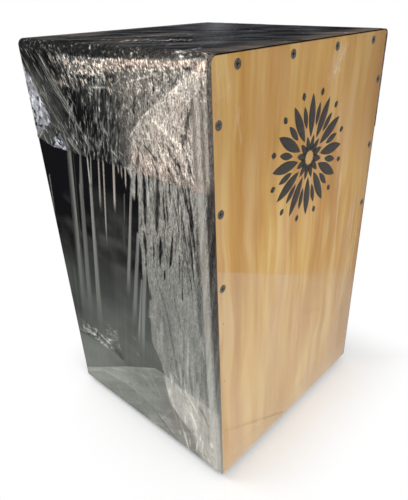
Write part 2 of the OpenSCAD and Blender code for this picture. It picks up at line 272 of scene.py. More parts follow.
def finish_of(name, constants):
    """A new material: its shader with constants on its own sockets, and its Object coordinates."""
    made = bpy.data.materials.new(name)
    made.use_nodes = True
    tree = made.node_tree
    shader = tree.nodes["Principled BSDF"]
    for socket, value in constants.items():
        shader.inputs[socket].default_value = value
    place = Wire(tree).node("ShaderNodeTexCoord", None, None, "Object")
    return made, shader, place


def shade(colour, factor):
    """A colour made darker or paler."""
    return tuple(min(1.0, c * factor) for c in colour)


def dress(made, *nodes):
    """Give CAD nodes a finish."""
    for name in nodes:
        mesh = frame["nodes"][name].data
        mesh.materials.clear()
        mesh.materials.append(made)


# Each metal: constants of its shader, scale and detail of its noise, dark and pale colour, least roughness
# and what the noise adds to it, strength of the bump
METALS = {
    "black_screw": (
        {"Metallic": 0.6}, 700, 3.0, (0.027, 0.025, 0.021), (0.112, 0.103, 0.088), 0.38, 0.22, 0.15),
    "brad_steel": (
        {"Specular IOR Level": 0.3}, 900, 2.0, (0.022, 0.012, 0.006), (0.070, 0.040, 0.022), 0.5, 0.2, 0.1),
    "bright_steel": ({"Metallic": 1.0}, 420, 3.0, (0.46, 0.45, 0.43), (0.66, 0.65, 0.63), 0.24, 0.2, 0.1),
    "snare_steel": ({"Metallic": 1.0}, 900, 2.0, (0.50, 0.50, 0.49), (0.72, 0.71, 0.69), 0.22, 0.16, 0.0),
}


def metal_finish(name):
    """Worn metal: one noise gives its colour, roughness and bump."""
    constants, scale, detail, dark, pale, least, more, bump = METALS[name]
    made, shader, place = finish_of(name, constants)
    worn = place.noise((scale, scale, scale), detail)
    worn.blend(dark, pale).into(shader, "Base Color")
    (least + more * worn).into(shader, "Roughness")
    if bump:
        worn.bumped(shader, bump, 0.0002)
    return made


def beech_finish(name, grain_scale):
    """Beech: pale pinkish brown with short dark flecks along the grain."""
    wood = bpy.context.scene.cajon_wood
    made, shader, place = finish_of(name, {"Specular IOR Level": 0.35})
    fibre = place.noise(grain_scale, 3.0, 0.6)
    fleck = place.noise(tuple(s * 2.2 for s in grain_scale), 1.0).ease(0.62, 0.72)
    body = fibre.blend(shade(wood.beech, 0.82), shade(wood.beech, 1.15))
    (0.6 * fleck).blend(body, shade(wood.beech, 0.45)).into(shader, "Base Color")
    (0.42 + 0.18 * fibre).into(shader, "Roughness")
    (fibre - 0.4 * fleck).bumped(shader, 0.15, 0.0003)
    return made


# Surfaces on grids

NOISE_CELLS = 256


def smooth(low, high, value):
    """0 at low and 1 at high, by a smooth step."""
    t = np.clip((value - low) / (high - low), 0, 1)
    return t * t * (3 - 2 * t)


def mix(first, second, share):
    """The first where a share is 0 and the second where it is 1."""
    return first * (1 - share) + second * share


def grain(u, v, cell_u, cell_v, seed):
    """Value noise from 0 to 1: random numbers at the corners of cells, blended by a smooth step."""
    size = NOISE_CELLS
    table = np.random.default_rng(seed).random((size, size))
    a = u / cell_u
    b = v / cell_v
    i = np.floor(a).astype(int)
    j = np.floor(b).astype(int)
    s = smooth(0, 1, a - i)
    t = smooth(0, 1, b - j)
    near = mix(table[i % size, j % size], table[(i + 1) % size, j % size], s)
    far = mix(table[i % size, (j + 1) % size], table[(i + 1) % size, (j + 1) % size], s)
    return mix(near, far, t)


def layers(u, v, cell_u, cell_v, seed, count=3):
    """Noise from 0 to 1 in layers: each has half the cell and half the weight of the one before."""
    total = 0
    weight = 0
    for k in range(count):
        share = 0.5 ** k
        total = total + share * grain(u, v, cell_u * share, cell_v * share, seed + k)
        weight += share
    return total / weight


def crease(u, v, cell_u, cell_v, seed, count=3):
    """Sharp creases: 1 along the lines where layered noise crosses its middle, less on both sides."""
    return 1 - np.abs(2 * layers(u, v, cell_u, cell_v, seed, count) - 1)


def follow(u, v, line):
    """Share of the way along a line, distance to its right and its length.

    A line is start u and v, end u and v.
    """
    u0, v0, u1, v1 = line
    du = u1 - u0
    dv = v1 - v0
    length = np.hypot(du, dv)
    way = ((u - u0) * du + (v - v0) * dv) / length ** 2
    across = ((u - u0) * dv - (v - v0) * du) / length
    return way, across, length


def band(u, v, line, half, soft=0.35, blunt=6):
    """1 within a half width of a line, 0 outside. Low bluntness points the ends."""
    way, across, length = follow(u, v, line)
    t = np.clip(way, 0, 1)
    away = np.hypot(across, (way - t) * length)
    width = half * (1 - (0.6 if blunt > 2 else 0.92) * (2 * t - 1) ** blunt)
    return 1 - smooth(width * (1 - soft), width * (1 + soft), away)


def grid_mesh(name, points, flip=False, wrap=False):
    """A mesh of quads on a grid of points, rows by columns; wrap joins the last column to the first."""
    rows, columns = points.shape[:2]
    index = np.arange(rows * columns).reshape(rows, columns)
    right = np.roll(index, -1, axis=1) if wrap else index[:, 1:]
    left = index if wrap else index[:, :-1]
    quads = np.stack((left[:-1], right[:-1], right[1:], left[1:]), -1).reshape(-1, 4)
    if flip:
        quads = quads[:, ::-1]
    return quads_mesh(name, points.reshape(-1, 3), quads)


def quads_mesh(name, points, quads):
    """A smooth mesh object from points in millimetres and the corner numbers of its quads."""
    mesh = bpy.data.meshes.new(name)
    mesh.vertices.add(len(points))
    mesh.vertices.foreach_set("co", (points * MM).astype(np.float32).ravel())
    mesh.loops.add(quads.size)
    mesh.loops.foreach_set("vertex_index", np.ascontiguousarray(quads, dtype=np.int32).ravel())
    mesh.polygons.add(len(quads))
    mesh.polygons.foreach_set("loop_start", np.arange(0, quads.size, 4, dtype=np.int32))
    mesh.polygons.foreach_set("use_smooth", np.ones(len(quads), dtype=bool))
    mesh.update(calc_edges=True)
    if mesh.validate():
        raise RuntimeError(f"{name} has faulty faces")
    made = bpy.data.objects.new(name, mesh)
    bpy.context.scene.collection.objects.link(made)
    return made


def spread(mesh, name, values):
    """Store one number for each point of a mesh."""
    mesh.attributes.new(name, "FLOAT", "POINT").data.foreach_set("value", values.astype(np.float32).ravel())


def tinted(mesh, name, colours):
    """Store one colour for each point of a mesh."""
    rgba = np.concatenate((colours, np.ones(colours.shape[:-1] + (1,))), -1)
    mesh.attributes.new(name, "FLOAT_COLOR", "POINT").data.foreach_set(
        "color", rgba.astype(np.float32).ravel())


# Stretch film: how pale it looks, and how high its wrinkles stand. Its grey levels hold the milky film
# together with painted reflections, painted glints and painted shade

LACQUER_LEVEL = 0.012
FILM_LEVEL = 0.76
FILM_COVER = 0.94
MOST_COVER = 0.97
# Tints of the film white. Rosy is also the warm colour of its painted highlights and painted reflections
GREENISH = np.array((0.99, 1.0, 0.93))
MOSSY = np.array((0.93, 1.0, 0.97))
ROSY = np.array((1.13, 0.99, 0.88))
BLUISH = np.array((0.95, 0.98, 1.12))
SEEDS = {
    "left": 100, "right": 300, "front": 500, "back": 700, "left_flap": 900, "seat": 1100, "right_flap": 1300,
    "tail": 1500,
}

# Each curve: pairs of a place and an amount, joined by straight lines
CURVES = {
    # Outlines in millimetres
    "tail_edge": ((0, 102), (60, 105), (100, 111), (112, 110), (175, 77), (234, 42), (284, 14)),
    "tail_arch": ((80, 8), (118, 30), (146, 41), (186, 43), (236, 35), (284, 6)),
    "lap_top": ((176, 79), (205, 89), (228, 91), (284, 84)),
    "gather_border": (
        (0, 35), (19, 43), (38, 52), (49, 69), (66, 85), (104, 95), (123, 96), (152, 111), (213, 109),
        (220, 103), (247, 107), (290, 110), (320, 108), (345, 107), (370, 108), (480, 114)),
    "sleek_middle": ((0, 12.0), (120, 14.5), (300, 16.5), (480, 16.0)),
    "edge_strip": ((0, 2.5), (60, 4.0), (130, 7.0), (257, 9.5), (345, 10.0), (380, 7.0), (480, 4.0)),
    "milky_edge": ((376, 284), (386, 264), (401, 246), (420, 260), (443, 272), (452, 281), (460, 290)),
    "wad_top": ((222, 368), (227, 384), (240, 385), (255, 371), (262, 366)),
    "front_fold": ((0, 484), (9, 472), (69, 435), (87, 423), (106, 400), (110, 360)),
    "crown_hem": (
        (0, 472), (60, 469), (109, 465), (150, 458), (190, 456), (217, 459), (250, 467), (284, 473)),
    "brim": ((0, 477), (60, 473.5), (150, 470), (284, 470)),
    "second_turn": ((0, 292), (8, 289), (130, 230), (252, 176), (302, 150)),
    "dark_sliver": ((200, 302), (300, 299.6), (480, 297.5)),
    # Grey levels from 0 to 255, of milky film and painted reflections
    "taut_grey": ((0, 96), (90, 95), (140, 94), (200, 82), (240, 65), (280, 40), (370, 28)),
    "rear_shade": ((96, 0), (130, 14), (290, 14), (320, 28)),
    "silver_grey": (
        (0, 147), (60, 150), (100, 148), (116, 132), (200, 122), (260, 128), (340, 139), (372, 147),
        (480, 147)),
    "sleek_grey": ((0, 172), (120, 163), (300, 144), (480, 160)),
    "edge_grey": ((0, 150), (60, 125), (120, 104), (200, 88), (280, 74), (340, 68)),
    "above_grey": ((0, 136), (19, 146), (45, 131), (75, 122), (110, 106), (130, 92)),
    "front_grey": ((0, 146), (19, 155), (45, 167), (75, 159), (110, 144)),
    "pipe_grey": (
        (3, 96), (5, 150), (7.5, 150), (9, 104), (11, 104), (13, 168), (16, 168), (19, 120), (21, 120),
        (24, 150)),
    "back_grey": ((0, 88), (150, 76), (330, 54), (480, 60)),
    # Shares
    "gather_coarse": ((180, 0.04), (250, 0.22), (300, 0.55), (350, 0.8)),
    "gather_rough": ((60, 0.12), (120, 0.28), (200, 0.4), (300, 1.0)),
    "edge_share": ((0, 0.3), (40, 0.55), (130, 0.8), (200, 1.0)),
    "tail_rosy": ((20, 0.3), (90, 0.2), (120, -0.3)),
}

# Sets of short folds with painted glints, and painted shade where the paleness is below 0: seed, count,
# patch from u to u and v to v, mean heading and its spread in degrees with 0 along u and 90 up, range of
# length, range of fade and range of paleness
FOLDS = {
    "lap": (
        (21, 90, (200, 270, 90, 112), (172, 26), (3, 16), (0.6, 1.8), (-50, 104)),
        (22, 50, (182, 210, 102, 134), (150, 40), (3, 14), (0.6, 1.6), (-20, 70))),
    "gather": ((20, 900, (6, 118, 190, 388), (97, 7), (4, 22), (0.35, 0.9), (-105, 80)),),
    "drape": ((24, 240, (8, 112, 96, 300), (95, 9), (12, 60), (0.8, 4.0), (-15, 15)),),
    "long": (
        (25, 60, (5, 74, 30, 190), (93, 5), (40, 120), (0.8, 3.5), (-30, 30)),
        (58, 32, (27, 50, 262, 384), (83, 4), (12, 56), (0.5, 1.0), (-80, -15)),
        (62, 36, (46, 106, 240, 384), (96, 5), (12, 56), (0.5, 1.0), (-80, -15))),
    "corner": ((23, 70, (14, 96, 0, 118), (70, 28), (6, 40), (0.7, 3.2), (-60, 76)),),
    "flap": (
        (30, 800, (104, 210, 366, 468), (104, 15), (4, 18), (0.3, 0.7), (-44, 124)),
        (31, 240, (190, 288, 366, 476), (52, 22), (5, 24), (0.3, 0.8), (-40, 128))),
    "spark": ((38, 190, (122, 226, 438, 467), (56, 18), (4, 14), (0.3, 0.7), (0, 145)),),
    "shard": ((37, 220, (240, 290, 370, 462), (60, 90), (3, 16), (0.5, 3.0), (-110, 120)),),
    "wad": ((32, 90, (222, 260, 364, 388), (20, 60), (3, 12), (0.5, 1.8), (-130, 150)),),
    "pleat": ((33, 520, (8, 118, 360, 410), (68, 22), (3, 15), (0.3, 0.8), (-104, 70)),),
    "crush": ((34, 900, (0, 140, 396, 482), (92, 50), (2, 9), (0.3, 0.6), (-76, 100)),),
    "glitter": ((35, 1500, (0, 250, 446, 479), (40, 60), (1.5, 5), (0.3, 0.6), (-140, 560)),),
    "rim": (
        (36, 260, (0, 284, 470, 486), (60, 60), (1.5, 5), (0.4, 0.8), (-20, 150)),
        (39, 16, (0, 40, 477, 487), (10, 20), (4, 14), (0.5, 1.0), (60, 200))),
    "tail": ((4, 90, (20, 284, 0, 112), (150, 34), (14, 60), (0.8, 6.0), (-24, 32)),),
    "tail_front": ((6, 54, (8, 92, 0, 106), (72, 26), (8, 44), (0.6, 2.0), (-50, 104)),),
    "seat": (
        (53, 50, (-90, -14, 116, 134), (90, 14), (5, 14), (0.6, 1.2), (10, 130)),
        (27, 24, (-40, -8, 18, 46), (90, 14), (5, 14), (0.6, 1.2), (10, 120)),
        (423, 420, (-190, 190, 0, 400), (90, 14), (5, 14), (0.6, 1.2), (-34, 56)),
        (73, 70, (-120, -20, 60, 200), (90, 14), (5, 14), (0.6, 1.2), (0, 80))),
    "front": (
        (44, 44, (188, 207, 456, 475), (58, 10), (3, 12), (0.4, 1.0), (0.0, 0.30)),
        (56, 56, (178, 200, 446, 468), (58, 10), (3, 12), (0.4, 1.0), (0.0, 0.34)),
        (36, 36, (172, 190, 436, 456), (58, 10), (3, 12), (0.4, 1.0), (0.0, 0.22)),
        (24, 24, (166, 214, 448, 474), (58, 10), (3, 12), (0.4, 1.0), (0.0, 0.16)),
        (60, 60, (2, 26, 446, 474), (58, 10), (3, 12), (0.4, 1.0), (0.0, 0.15)),
        (30, 30, (4, 14, 424, 452), (58, 10), (3, 12), (0.4, 1.0), (0.0, 0.10))),
    "back": ((10, 240, (0, WIDTH, 0, HEIGHT), (88, 4), (30, 170), (3.0, 6.0), (-13, 36)),),
}

# Each tension line: start u and v, end u and v, half width at both, grey level
TENSION_LINES = (
    (220, 373, 262, 100, 3.8, 5.6, 88), (213, 368, 240, 200, 0.8, 1.6, 56),
    (226, 366, 262, 160, 0.6, 1.4, 50), (198, 373, 212, 312, 1.1, 4.2, 92),
    (208.5, 333, 246, 108, 3.6, 5.6, 88), (186, 373, 190, 326, 1.0, 1.7, 120),
    (179, 372, 189, 326, 0.8, 1.5, 106), (188.3, 337, 226, 100, 2.4, 5.4, 98),
    (165, 373, 177.5, 303, 1.0, 2.0, 104), (156.5, 374, 176, 258, 1.2, 1.1, 146),
    (139, 374, 150, 308, 1.8, 1.6, 138), (132, 372, 133.4, 359, 1.0, 0.8, 122),
    (127, 372, 128.8, 354, 1.0, 0.8, 122), (120.5, 372, 124.5, 343, 1.2, 0.7, 126),
    (128, 340, 135.5, 300, 0.8, 0.9, 74), (147, 332, 155, 276, 1.2, 1.6, 48),
    (138, 300, 142, 262, 1.0, 1.4, 62), (116, 345, 150, 190, 1.6, 3.2, 106),
    (112, 300, 146, 150, 2.4, 3.6, 104), (107, 262, 136, 112, 3.0, 4.0, 106),
    (116, 240, 140, 128, 1.2, 2.4, 116), (276, 330, 284, 268, 1.4, 2.2, 80),
    (196, 264, 219, 165, 0.9, 2.0, 72), (203, 236, 224, 130, 1.0, 2.4, 80),
    (242, 250, 262, 150, 0.9, 2.2, 66), (233, 250, 250, 140, 0.9, 2.0, 74),
    (262, 205, 272, 120, 1.6, 2.4, 72),
)
# Each slit of painted shade between wrinkles: start u and v, end u and v, half width
DARK_SLITS = (
    (91, 380, 99, 310, 2.6), (71, 378, 82, 304, 3.0), (102, 306, 104, 272, 1.9), (76, 306, 82, 268, 2.4),
    (58, 312, 66, 272, 1.7), (74.5, 268, 77, 254, 1.5), (45, 368, 47, 332, 1.0),
    (66, 360, 67.5, 316, 1.1), (37, 382, 30, 320, 1.2), (31, 378, 27, 296, 1.4), (43, 345, 38, 300, 1.1),
    (34, 330, 31, 270, 1.2), (88, 298, 92, 262, 1.0), (107, 354, 111, 320, 1.3), (50, 300, 53, 262, 0.9),
    (40, 374, 34, 345, 1.1), (62, 345, 64, 325, 0.9), (84, 372, 88, 350, 1.0), (55, 376, 58, 352, 0.9),
    (49, 258, 51, 238, 0.8),
)
# Each long crease with painted shade: start u and v, end u and v, half width
LONG_CREASES = (
    (91, 258, 76, 205, 1.2), (77, 207, 71, 150, 1.4), (64, 240, 55, 196, 1.1), (62, 160, 58, 108, 1.5),
    (25, 185, 22, 118, 2.0), (48, 150, 45, 104, 1.6), (70, 148, 66, 104, 2.2), (33, 150, 30, 108, 1.4),
)
# Each pale fold with its painted glint, on the lower front corner, where the film laps, on both parts of the
# flap and on the loose end: start u and v, end u and v, fade, grey level
CORNER_LINES = (
    (94, 106, 84, 66, 2.0, 168), (85, 67, 69, 50, 1.1, 182), (69, 50, 52, 38, 1.0, 172),
    (51, 74, 41, 50, 2.0, 222), (50, 60, 36, 12, 2.0, 178), (38, 42, 24, 6, 1.5, 178),
    (78, 124, 66, 116, 0.9, 185), (83, 120, 81, 102, 1.6, 214), (18, 98, 13, 20, 1.3, 158),
    (42, 30, 46, 6, 1.6, 228), (74, 102, 70, 52, 2.4, 166), (30, 118, 33, 34, 2.0, 158),
    (56, 98, 52, 60, 1.8, 162), (44, 100, 42, 64, 1.6, 166), (26, 88, 24, 40, 1.5, 164),
    (20, 40, 16, 8, 1.4, 186), (113, 189, 95, 196, 1.0, 152), (90, 100, 80, 84, 2.0, 174),
)
LAP_LINES = (
    (284, 88, 236, 98, 1.6, 140), (242, 90, 205, 88.5, 2.0, 148), (205, 88.5, 176, 79, 1.5, 132),
    (231, 91, 225, 89.5, 1.5, 214), (234, 106, 204, 99, 2.8, 148), (226, 106, 218, 104, 1.4, 186),
    (218, 102, 202, 100, 1.2, 200), (213, 108, 204, 106, 1.0, 190), (266, 97, 250, 101, 1.0, 172),
    (262, 95, 240, 100, 0.8, 150), (212, 121, 196, 127, 1.2, 122), (206, 115, 190, 124, 1.4, 108),
    (196, 112, 192, 110, 1.0, 172), (148, 142, 145, 138, 0.8, 150), (146, 118, 143, 112, 0.8, 140),
)
FLAP_LINES = (
    (251, 466, 169, 373, 1.2, 156), (246, 468, 196, 408, 1.0, 140), (246, 468, 235, 451, 2.0, 172),
    (256, 468, 200, 402, 0.9, 114), (274, 452, 232, 397, 1.2, 126), (262, 458, 246, 440, 1.6, 134),
    (228, 444, 214, 440, 1.2, 122), (221, 384, 204, 371, 1.6, 172), (216, 386, 200, 370, 1.0, 150),
    (180, 370, 178, 389, 1.6, 124), (197, 370, 198, 400, 1.2, 112), (221, 370, 222, 392, 2.4, 114),
    (159, 442, 134, 444.5, 0.8, 198), (134, 444.5, 90, 440, 0.8, 182), (116, 440, 104, 436, 0.8, 194),
    (165, 437, 158, 435, 1.0, 198), (203, 442, 197, 438, 1.2, 187), (196, 448, 186, 436, 1.0, 172),
    (152, 412, 146, 400, 1.4, 150), (148, 404, 142, 397, 1.2, 172), (139.5, 370, 138, 390, 1.4, 158),
    (141, 384, 130, 378, 1.2, 182), (128, 385, 119, 381, 1.2, 187), (247, 396, 226, 388, 1.0, 118),
    (190, 392, 176, 376, 1.2, 142), (215, 420, 200, 404, 1.0, 126), (280, 374, 268, 384, 1.8, 172),
)
FRONT_FLAP_LINES = (
    (3, 476, 69, 435, 1.5, 232), (69, 435, 87, 423, 1.5, 226), (87, 423, 109, 400, 1.5, 212),
    (73, 423, 52, 412, 3.2, 250), (52, 412, 36, 402, 3.6, 255), (30, 448, 70, 436, 1.0, 210),
    (62, 425, 24, 420, 1.0, 204), (90, 404, 58, 406, 1.0, 206), (58, 406, 30, 394, 1.2, 214),
    (24, 466, 5, 440, 1.0, 208), (102, 452, 60, 462, 1.0, 194), (28, 444, 18, 446, 1.2, 223),
    (12, 470, 4, 452, 0.9, 214), (8, 478, 20, 462, 0.9, 218),
)
TAIL_LINES = (
    (284, 6, 236, 35, 2.5, 152), (236, 35, 186, 43, 2.5, 152), (186, 43, 146, 41, 1.6, 142),
    (146, 41, 118, 30, 1.4, 136), (118, 30, 84, 9, 1.2, 132), (280, 22, 216, 50, 3.0, 154),
    (216, 50, 176, 67, 3.0, 150), (150, 90, 112, 62, 1.2, 140), (130, 104, 104, 60, 1.0, 138),
    (98, 92, 74, 30, 1.2, 140), (88, 96, 66, 18, 1.2, 140), (76, 66, 62, 4, 1.4, 142),
    (170, 60, 150, 20, 1.4, 132), (206, 30, 196, 2, 1.6, 132), (240, 20, 232, 0, 1.4, 136),
)
# Each dark fold with painted shade on the front of the flap: start u and v, end u and v, half width
FRONT_FLAP_DARKS = (
    (19, 448, 36, 405, 1.9), (92, 442, 96, 426, 2.0), (64, 464, 66, 446, 0.9), (54, 472, 56, 450, 0.8),
    (84, 398, 66, 384, 1.0), (46, 394, 34, 370, 1.6), (98, 386, 103, 369, 1.6), (78, 388, 70, 370, 1.3),
    (56, 386, 48, 370, 1.2), (30, 392, 26, 370, 1.4), (8, 470, 14, 440, 0.8),
)
# Each pale streak on the front: start x and v, end x and v, half width, cover
FRONT_STREAKS = (
    (222, 332, 226, 248, 1.5, 0.24), (226, 250, 222, 190, 1.8, 0.20), (270, 300, 268, 150, 1.6, 0.20),
    (286, 240, 284, 150, 1.6, 0.18), (230, 190, 232, 165, 1.4, 0.22), (247, 150, 250, 135, 1.0, 0.12),
    (30, 430, 36, 405, 1.3, 0.10), (33, 438, 31, 425, 1.5, 0.12), (258, 90, 250, 130, 1.6, 0.10),
)
# Each crease on the front with the painted shadow of its fold: start x and v, end x and v, half width,
# darkness
FRONT_FOLD_SHADOWS = (
    (10, 72, 44, 52, 1.2, 0.30), (40, 55, 128, 6, 1.3, 0.55), (160, 160, 208, 140, 1.6, 0.35),
)
# Each screw or brad that the film lies close on: x and v, radius
CLOSE_SPOTS = ((8.4, 270.5, 4.8), (8.0, 228.6, 1.6), (8.2, 150.3, 1.6))


def haze_and_reflection_of(level):
    """Cover of white film on black lacquer that gives a grey level from 0 to 255, milky film and painted
    reflections.
    """
    light = (np.clip(level, 0, 255) / 255) ** 2.2
    return np.clip((light - LACQUER_LEVEL) / (FILM_LEVEL - LACQUER_LEVEL), 0.0, MOST_COVER)


def over(cover, under):
    """Cover of one film over another."""
    return cover + (1 - cover) * under


def curve(name, place):
    """Amount of a named curve at a place."""
    places, amounts = zip(*CURVES[name])
    return np.interp(place, places, amounts)


def zone(value, start, full, fade, end):
    """1 from full to fade and 0 outside start and end, by a smooth step on each side."""
    return smooth(start, full, value) * smooth(end, fade, value)


def flap_edge(u):
    """Height v of the lower edge of the top film's flap: nearly level, with a low wave."""
    return 368.5 + 5 * smooth(252, 284, u) + 1.6 * (grain(u, u * 0, 34, 1, 11) - 0.5)


def ray(u, v, line, head, foot, fade=0.66):
    """A tension line: its half width goes from head to foot, its edges soften and its end fades out."""
    way, across = follow(u, v, line)[:2]
    t = np.clip(way, 0, 1)
    half = mix(head, foot, t)
    soft = 0.22 + 0.5 * t
    edge = 1 - smooth(half * (1 - soft), half * (1 + soft), np.abs(across))
    return edge * smooth(-0.01, 0.02, way) * (1 - smooth(fade, 1, way))


def glint(u, v, line, fade):
    """A fold's painted glint: sharp on one side of a line, fading on the other, thin at its ends; darkened,
    it paints shade.
    """
    way, across = follow(u, v, line)[:2]
    side = smooth(-0.7, 0.1, across) * np.exp(-np.clip(across, 0, None) / fade)
    return side * np.sqrt(np.clip(4 * way * (1 - way), 0, 1))


def with_fold_glints(level, u, v, folds):
    """Grey level raised to the painted glint of each fold of a list, where the glint is paler."""
    for *line, fade, pale in folds:
        level = level + np.clip(pale - level, 0, None) * glint(u, v, line, fade)
    return level


def fold_glints_and_shade(u, v, seed, name):
    """Crumpled film: the sum of the painted glints of the short folds of a named entry, thrown over their
    patches of u and v; a fold below 0 paints shade.
    """
    total = np.zeros(u.shape)
    for step, count, (u_low, u_high, v_low, v_high), (heading, swing), length, fade, pale in FOLDS[name]:
        for draw in np.random.default_rng(seed + step).random((count, 6)):
            turn = np.radians(heading + swing * (2 * draw[2] - 1))
            reach = (length[0] + (length[1] - length[0]) * draw[3] ** 2) / 2
            middle = np.array((u_low + (u_high - u_low) * draw[0], v_low + (v_high - v_low) * draw[1]))
            way = reach * np.array((np.cos(turn), np.sin(turn)))
            dim = fade[0] + (fade[1] - fade[0]) * draw[4]
            room = reach + 3 * dim
            near = (np.abs(u - middle[0]) < room) & (np.abs(v - middle[1]) < room)
            grey = pale[0] + (pale[1] - pale[0]) * draw[5]
            total[near] += grey * glint(u[near], v[near], (*(middle - way), *(middle + way)), dim)
    return total


def side_film(u, v, seed):
    """Grey level, rosiness, wrinkle height and crumpledness of the film round a side.

    The middle is taut: dark above and paler below, where a painted reflection of the floor adds to the milky
    film, with tension lines that lean to the back. The front part is gathered: silvery with painted
    reflections and glints, with slits of painted shade above and long creases with painted shade below, up
    to a wavy border.
    A sleek band and a dark strip run along the front edge. The crumpledness scales the fine painted threads
    and flecks of the film's shader.
    """
    # Taut middle
    lean = u - 0.16 * (HEIGHT - v)
    brush = grain(lean, v, 2.7, 150, seed + 1) - 0.5
    smoke = layers(u, v, 60, 34, seed + 2) - 0.5
    fine = grain(u, v, 1.3, 1.9, seed + 3) - 0.5
    wisps = layers(u, v, 30, 17, seed + 12) - 0.5
    # Paler towards the bottom: milky film and a painted reflection of the floor
    level = curve("taut_grey", v) + 26 * smoke * smooth(330, 240, v) + 6 * brush * smooth(330, 200, v)
    level = level + 46 * wisps * zone(v, 225, 255, 290, 340)
    level = level - curve("rear_shade", v) * smooth(246, 268, u)
    level = level + 14 * zone(u, 122, 140, 186, 202) * zone(v, 250, 275, 325, 345)
    level = level - 12 * zone(u, 160, 182, 252, 264) * zone(v, 150, 190, 244, 264)
    rays = np.zeros(u.shape)
    for *line, head, foot, pale in TENSION_LINES:
        rays = np.maximum(rays, (pale + 8 - level) * ray(u, v, line, head, foot))
    level = with_fold_glints(level + rays * (1 + 0.9 * brush), u, v, LAP_LINES) + fold_glints_and_shade(u, v, seed, "lap")
    level = level + 13 * smooth(110, 200, u) * smooth(0, 3, curve("lap_top", u) - v)
    # Painted shade in the hollows behind the lap
    lap_shade = band(u, v, (262, 97, 238, 95), 2.2) + band(u, v, (196, 96, 180, 88), 5.0, 0.8)
    level = level - 16 * np.clip(lap_shade, 0, 1)
    # Gathered front
    wave = 4 * (grain(v, u * 0, 15, 1, seed + 5) - 0.5)
    fringe = 16 * (grain(lean, v, 5, 120, seed + 10) - 0.35) * smooth(205, 260, v)
    blur = 1.6 + 7 * smooth(80, 30, v)
    gathered = smooth(blur, -blur, u - curve("gather_border", v) - wave - fringe)
    streaks = layers(u + 0.05 * v, v, 5, 70, seed + 6) - 0.5
    threads = layers(u + 0.05 * v, v, 2.0, 24, seed + 11, 2) - 0.5
    coarse = curve("gather_coarse", v)
    folds = fold_glints_and_shade(u, v, seed, "gather")
    silver = curve("silver_grey", v) + 6 * smooth(80, 15, u) * smooth(300, 200, v)
    silver = silver + 14 * streaks + (8 + 22 * coarse) * threads + 20 * fine + 0.75 * coarse * folds
    silver = silver + fold_glints_and_shade(u, v, seed, "drape") + fold_glints_and_shade(u, v, seed, "long")
    silver = silver - 34 * band(u, v, (21, 352, 25, 205), 3.4, 0.9)
    ragged_u = u + 1.5 * (grain(u, v, 3, 9, seed + 7) - 0.5) + 1.1 * (grain(u, v, 1.6, 4, seed + 8) - 0.5)
    # Painted shade in the slits between the wrinkles
    slit = np.zeros(u.shape)
    for *line, half in DARK_SLITS:
        slit = np.maximum(slit, band(ragged_u, v, line, half, 0.8, 2))
    silver = mix(silver, 46 + 44 * threads + 0.4 * folds, slit)
    # Painted shade in the long creases
    for *line, half in LONG_CREASES:
        silver = silver - 20 * band(u, v, line, half, 0.9)
    # Front edge
    sleek = 1 - smooth(2.6, 5.4, np.abs(u - curve("sleek_middle", v)))
    silver = mix(silver, curve("sleek_grey", v) + 24 * brush, sleek)
    level = with_fold_glints(mix(level, silver, gathered), u, v, CORNER_LINES)
    level = level + gathered * fold_glints_and_shade(u, v, seed, "corner")
    strip = curve("edge_strip", v)
    dark_edge = smooth(strip + 1.2, strip - 1.6, u) * curve("edge_share", v)
    level = mix(level, curve("edge_grey", v) + 30 * brush, dark_edge)
    hidden = smooth(-1.5, 4 + 10 * smooth(119, 108, u), v - flap_edge(u))
    level = level * (1 - hidden) ** 0.45
    # Tint, relief and crumpledness for the painted threads and flecks
    rosy = gathered * smooth(240, 330, v) * (0.3 + 0.4 * smooth(10, 50, folds))
    rosy = rosy - (1 - gathered) * smooth(260, 170, v) + 0.5 * sleek * zone(v, 170, 210, 300, 370)
    rosy = rosy + 0.9 * (1 - gathered) * smooth(10, 40, rays) * smooth(285, 325, v) * smooth(192, 172, u)
    rosy = rosy + 0.6 * dark_edge * smooth(120, 200, v)
    gather = 0.25 * crease(u + 0.04 * v, v, 9, 60, seed + 9) + 0.2 * (threads + 0.5)
    gather = gather + 0.006 * coarse * np.clip(folds, 0, 60)
    rise = 0.15 + 0.4 * smooth(8, 30, rays)
    rise = rise + gathered * (1 - 0.7 * slit) * (1 - sleek) * gather * smooth(10, 120, v)
    rise = rise * (1 - 0.8 * hidden) * smooth(-2, 14, v - curve("tail_edge", u))
    rough = gathered * curve("gather_rough", v) * (1 - 0.7 * sleek) + 0.04
    return level, rosy, rise, rough


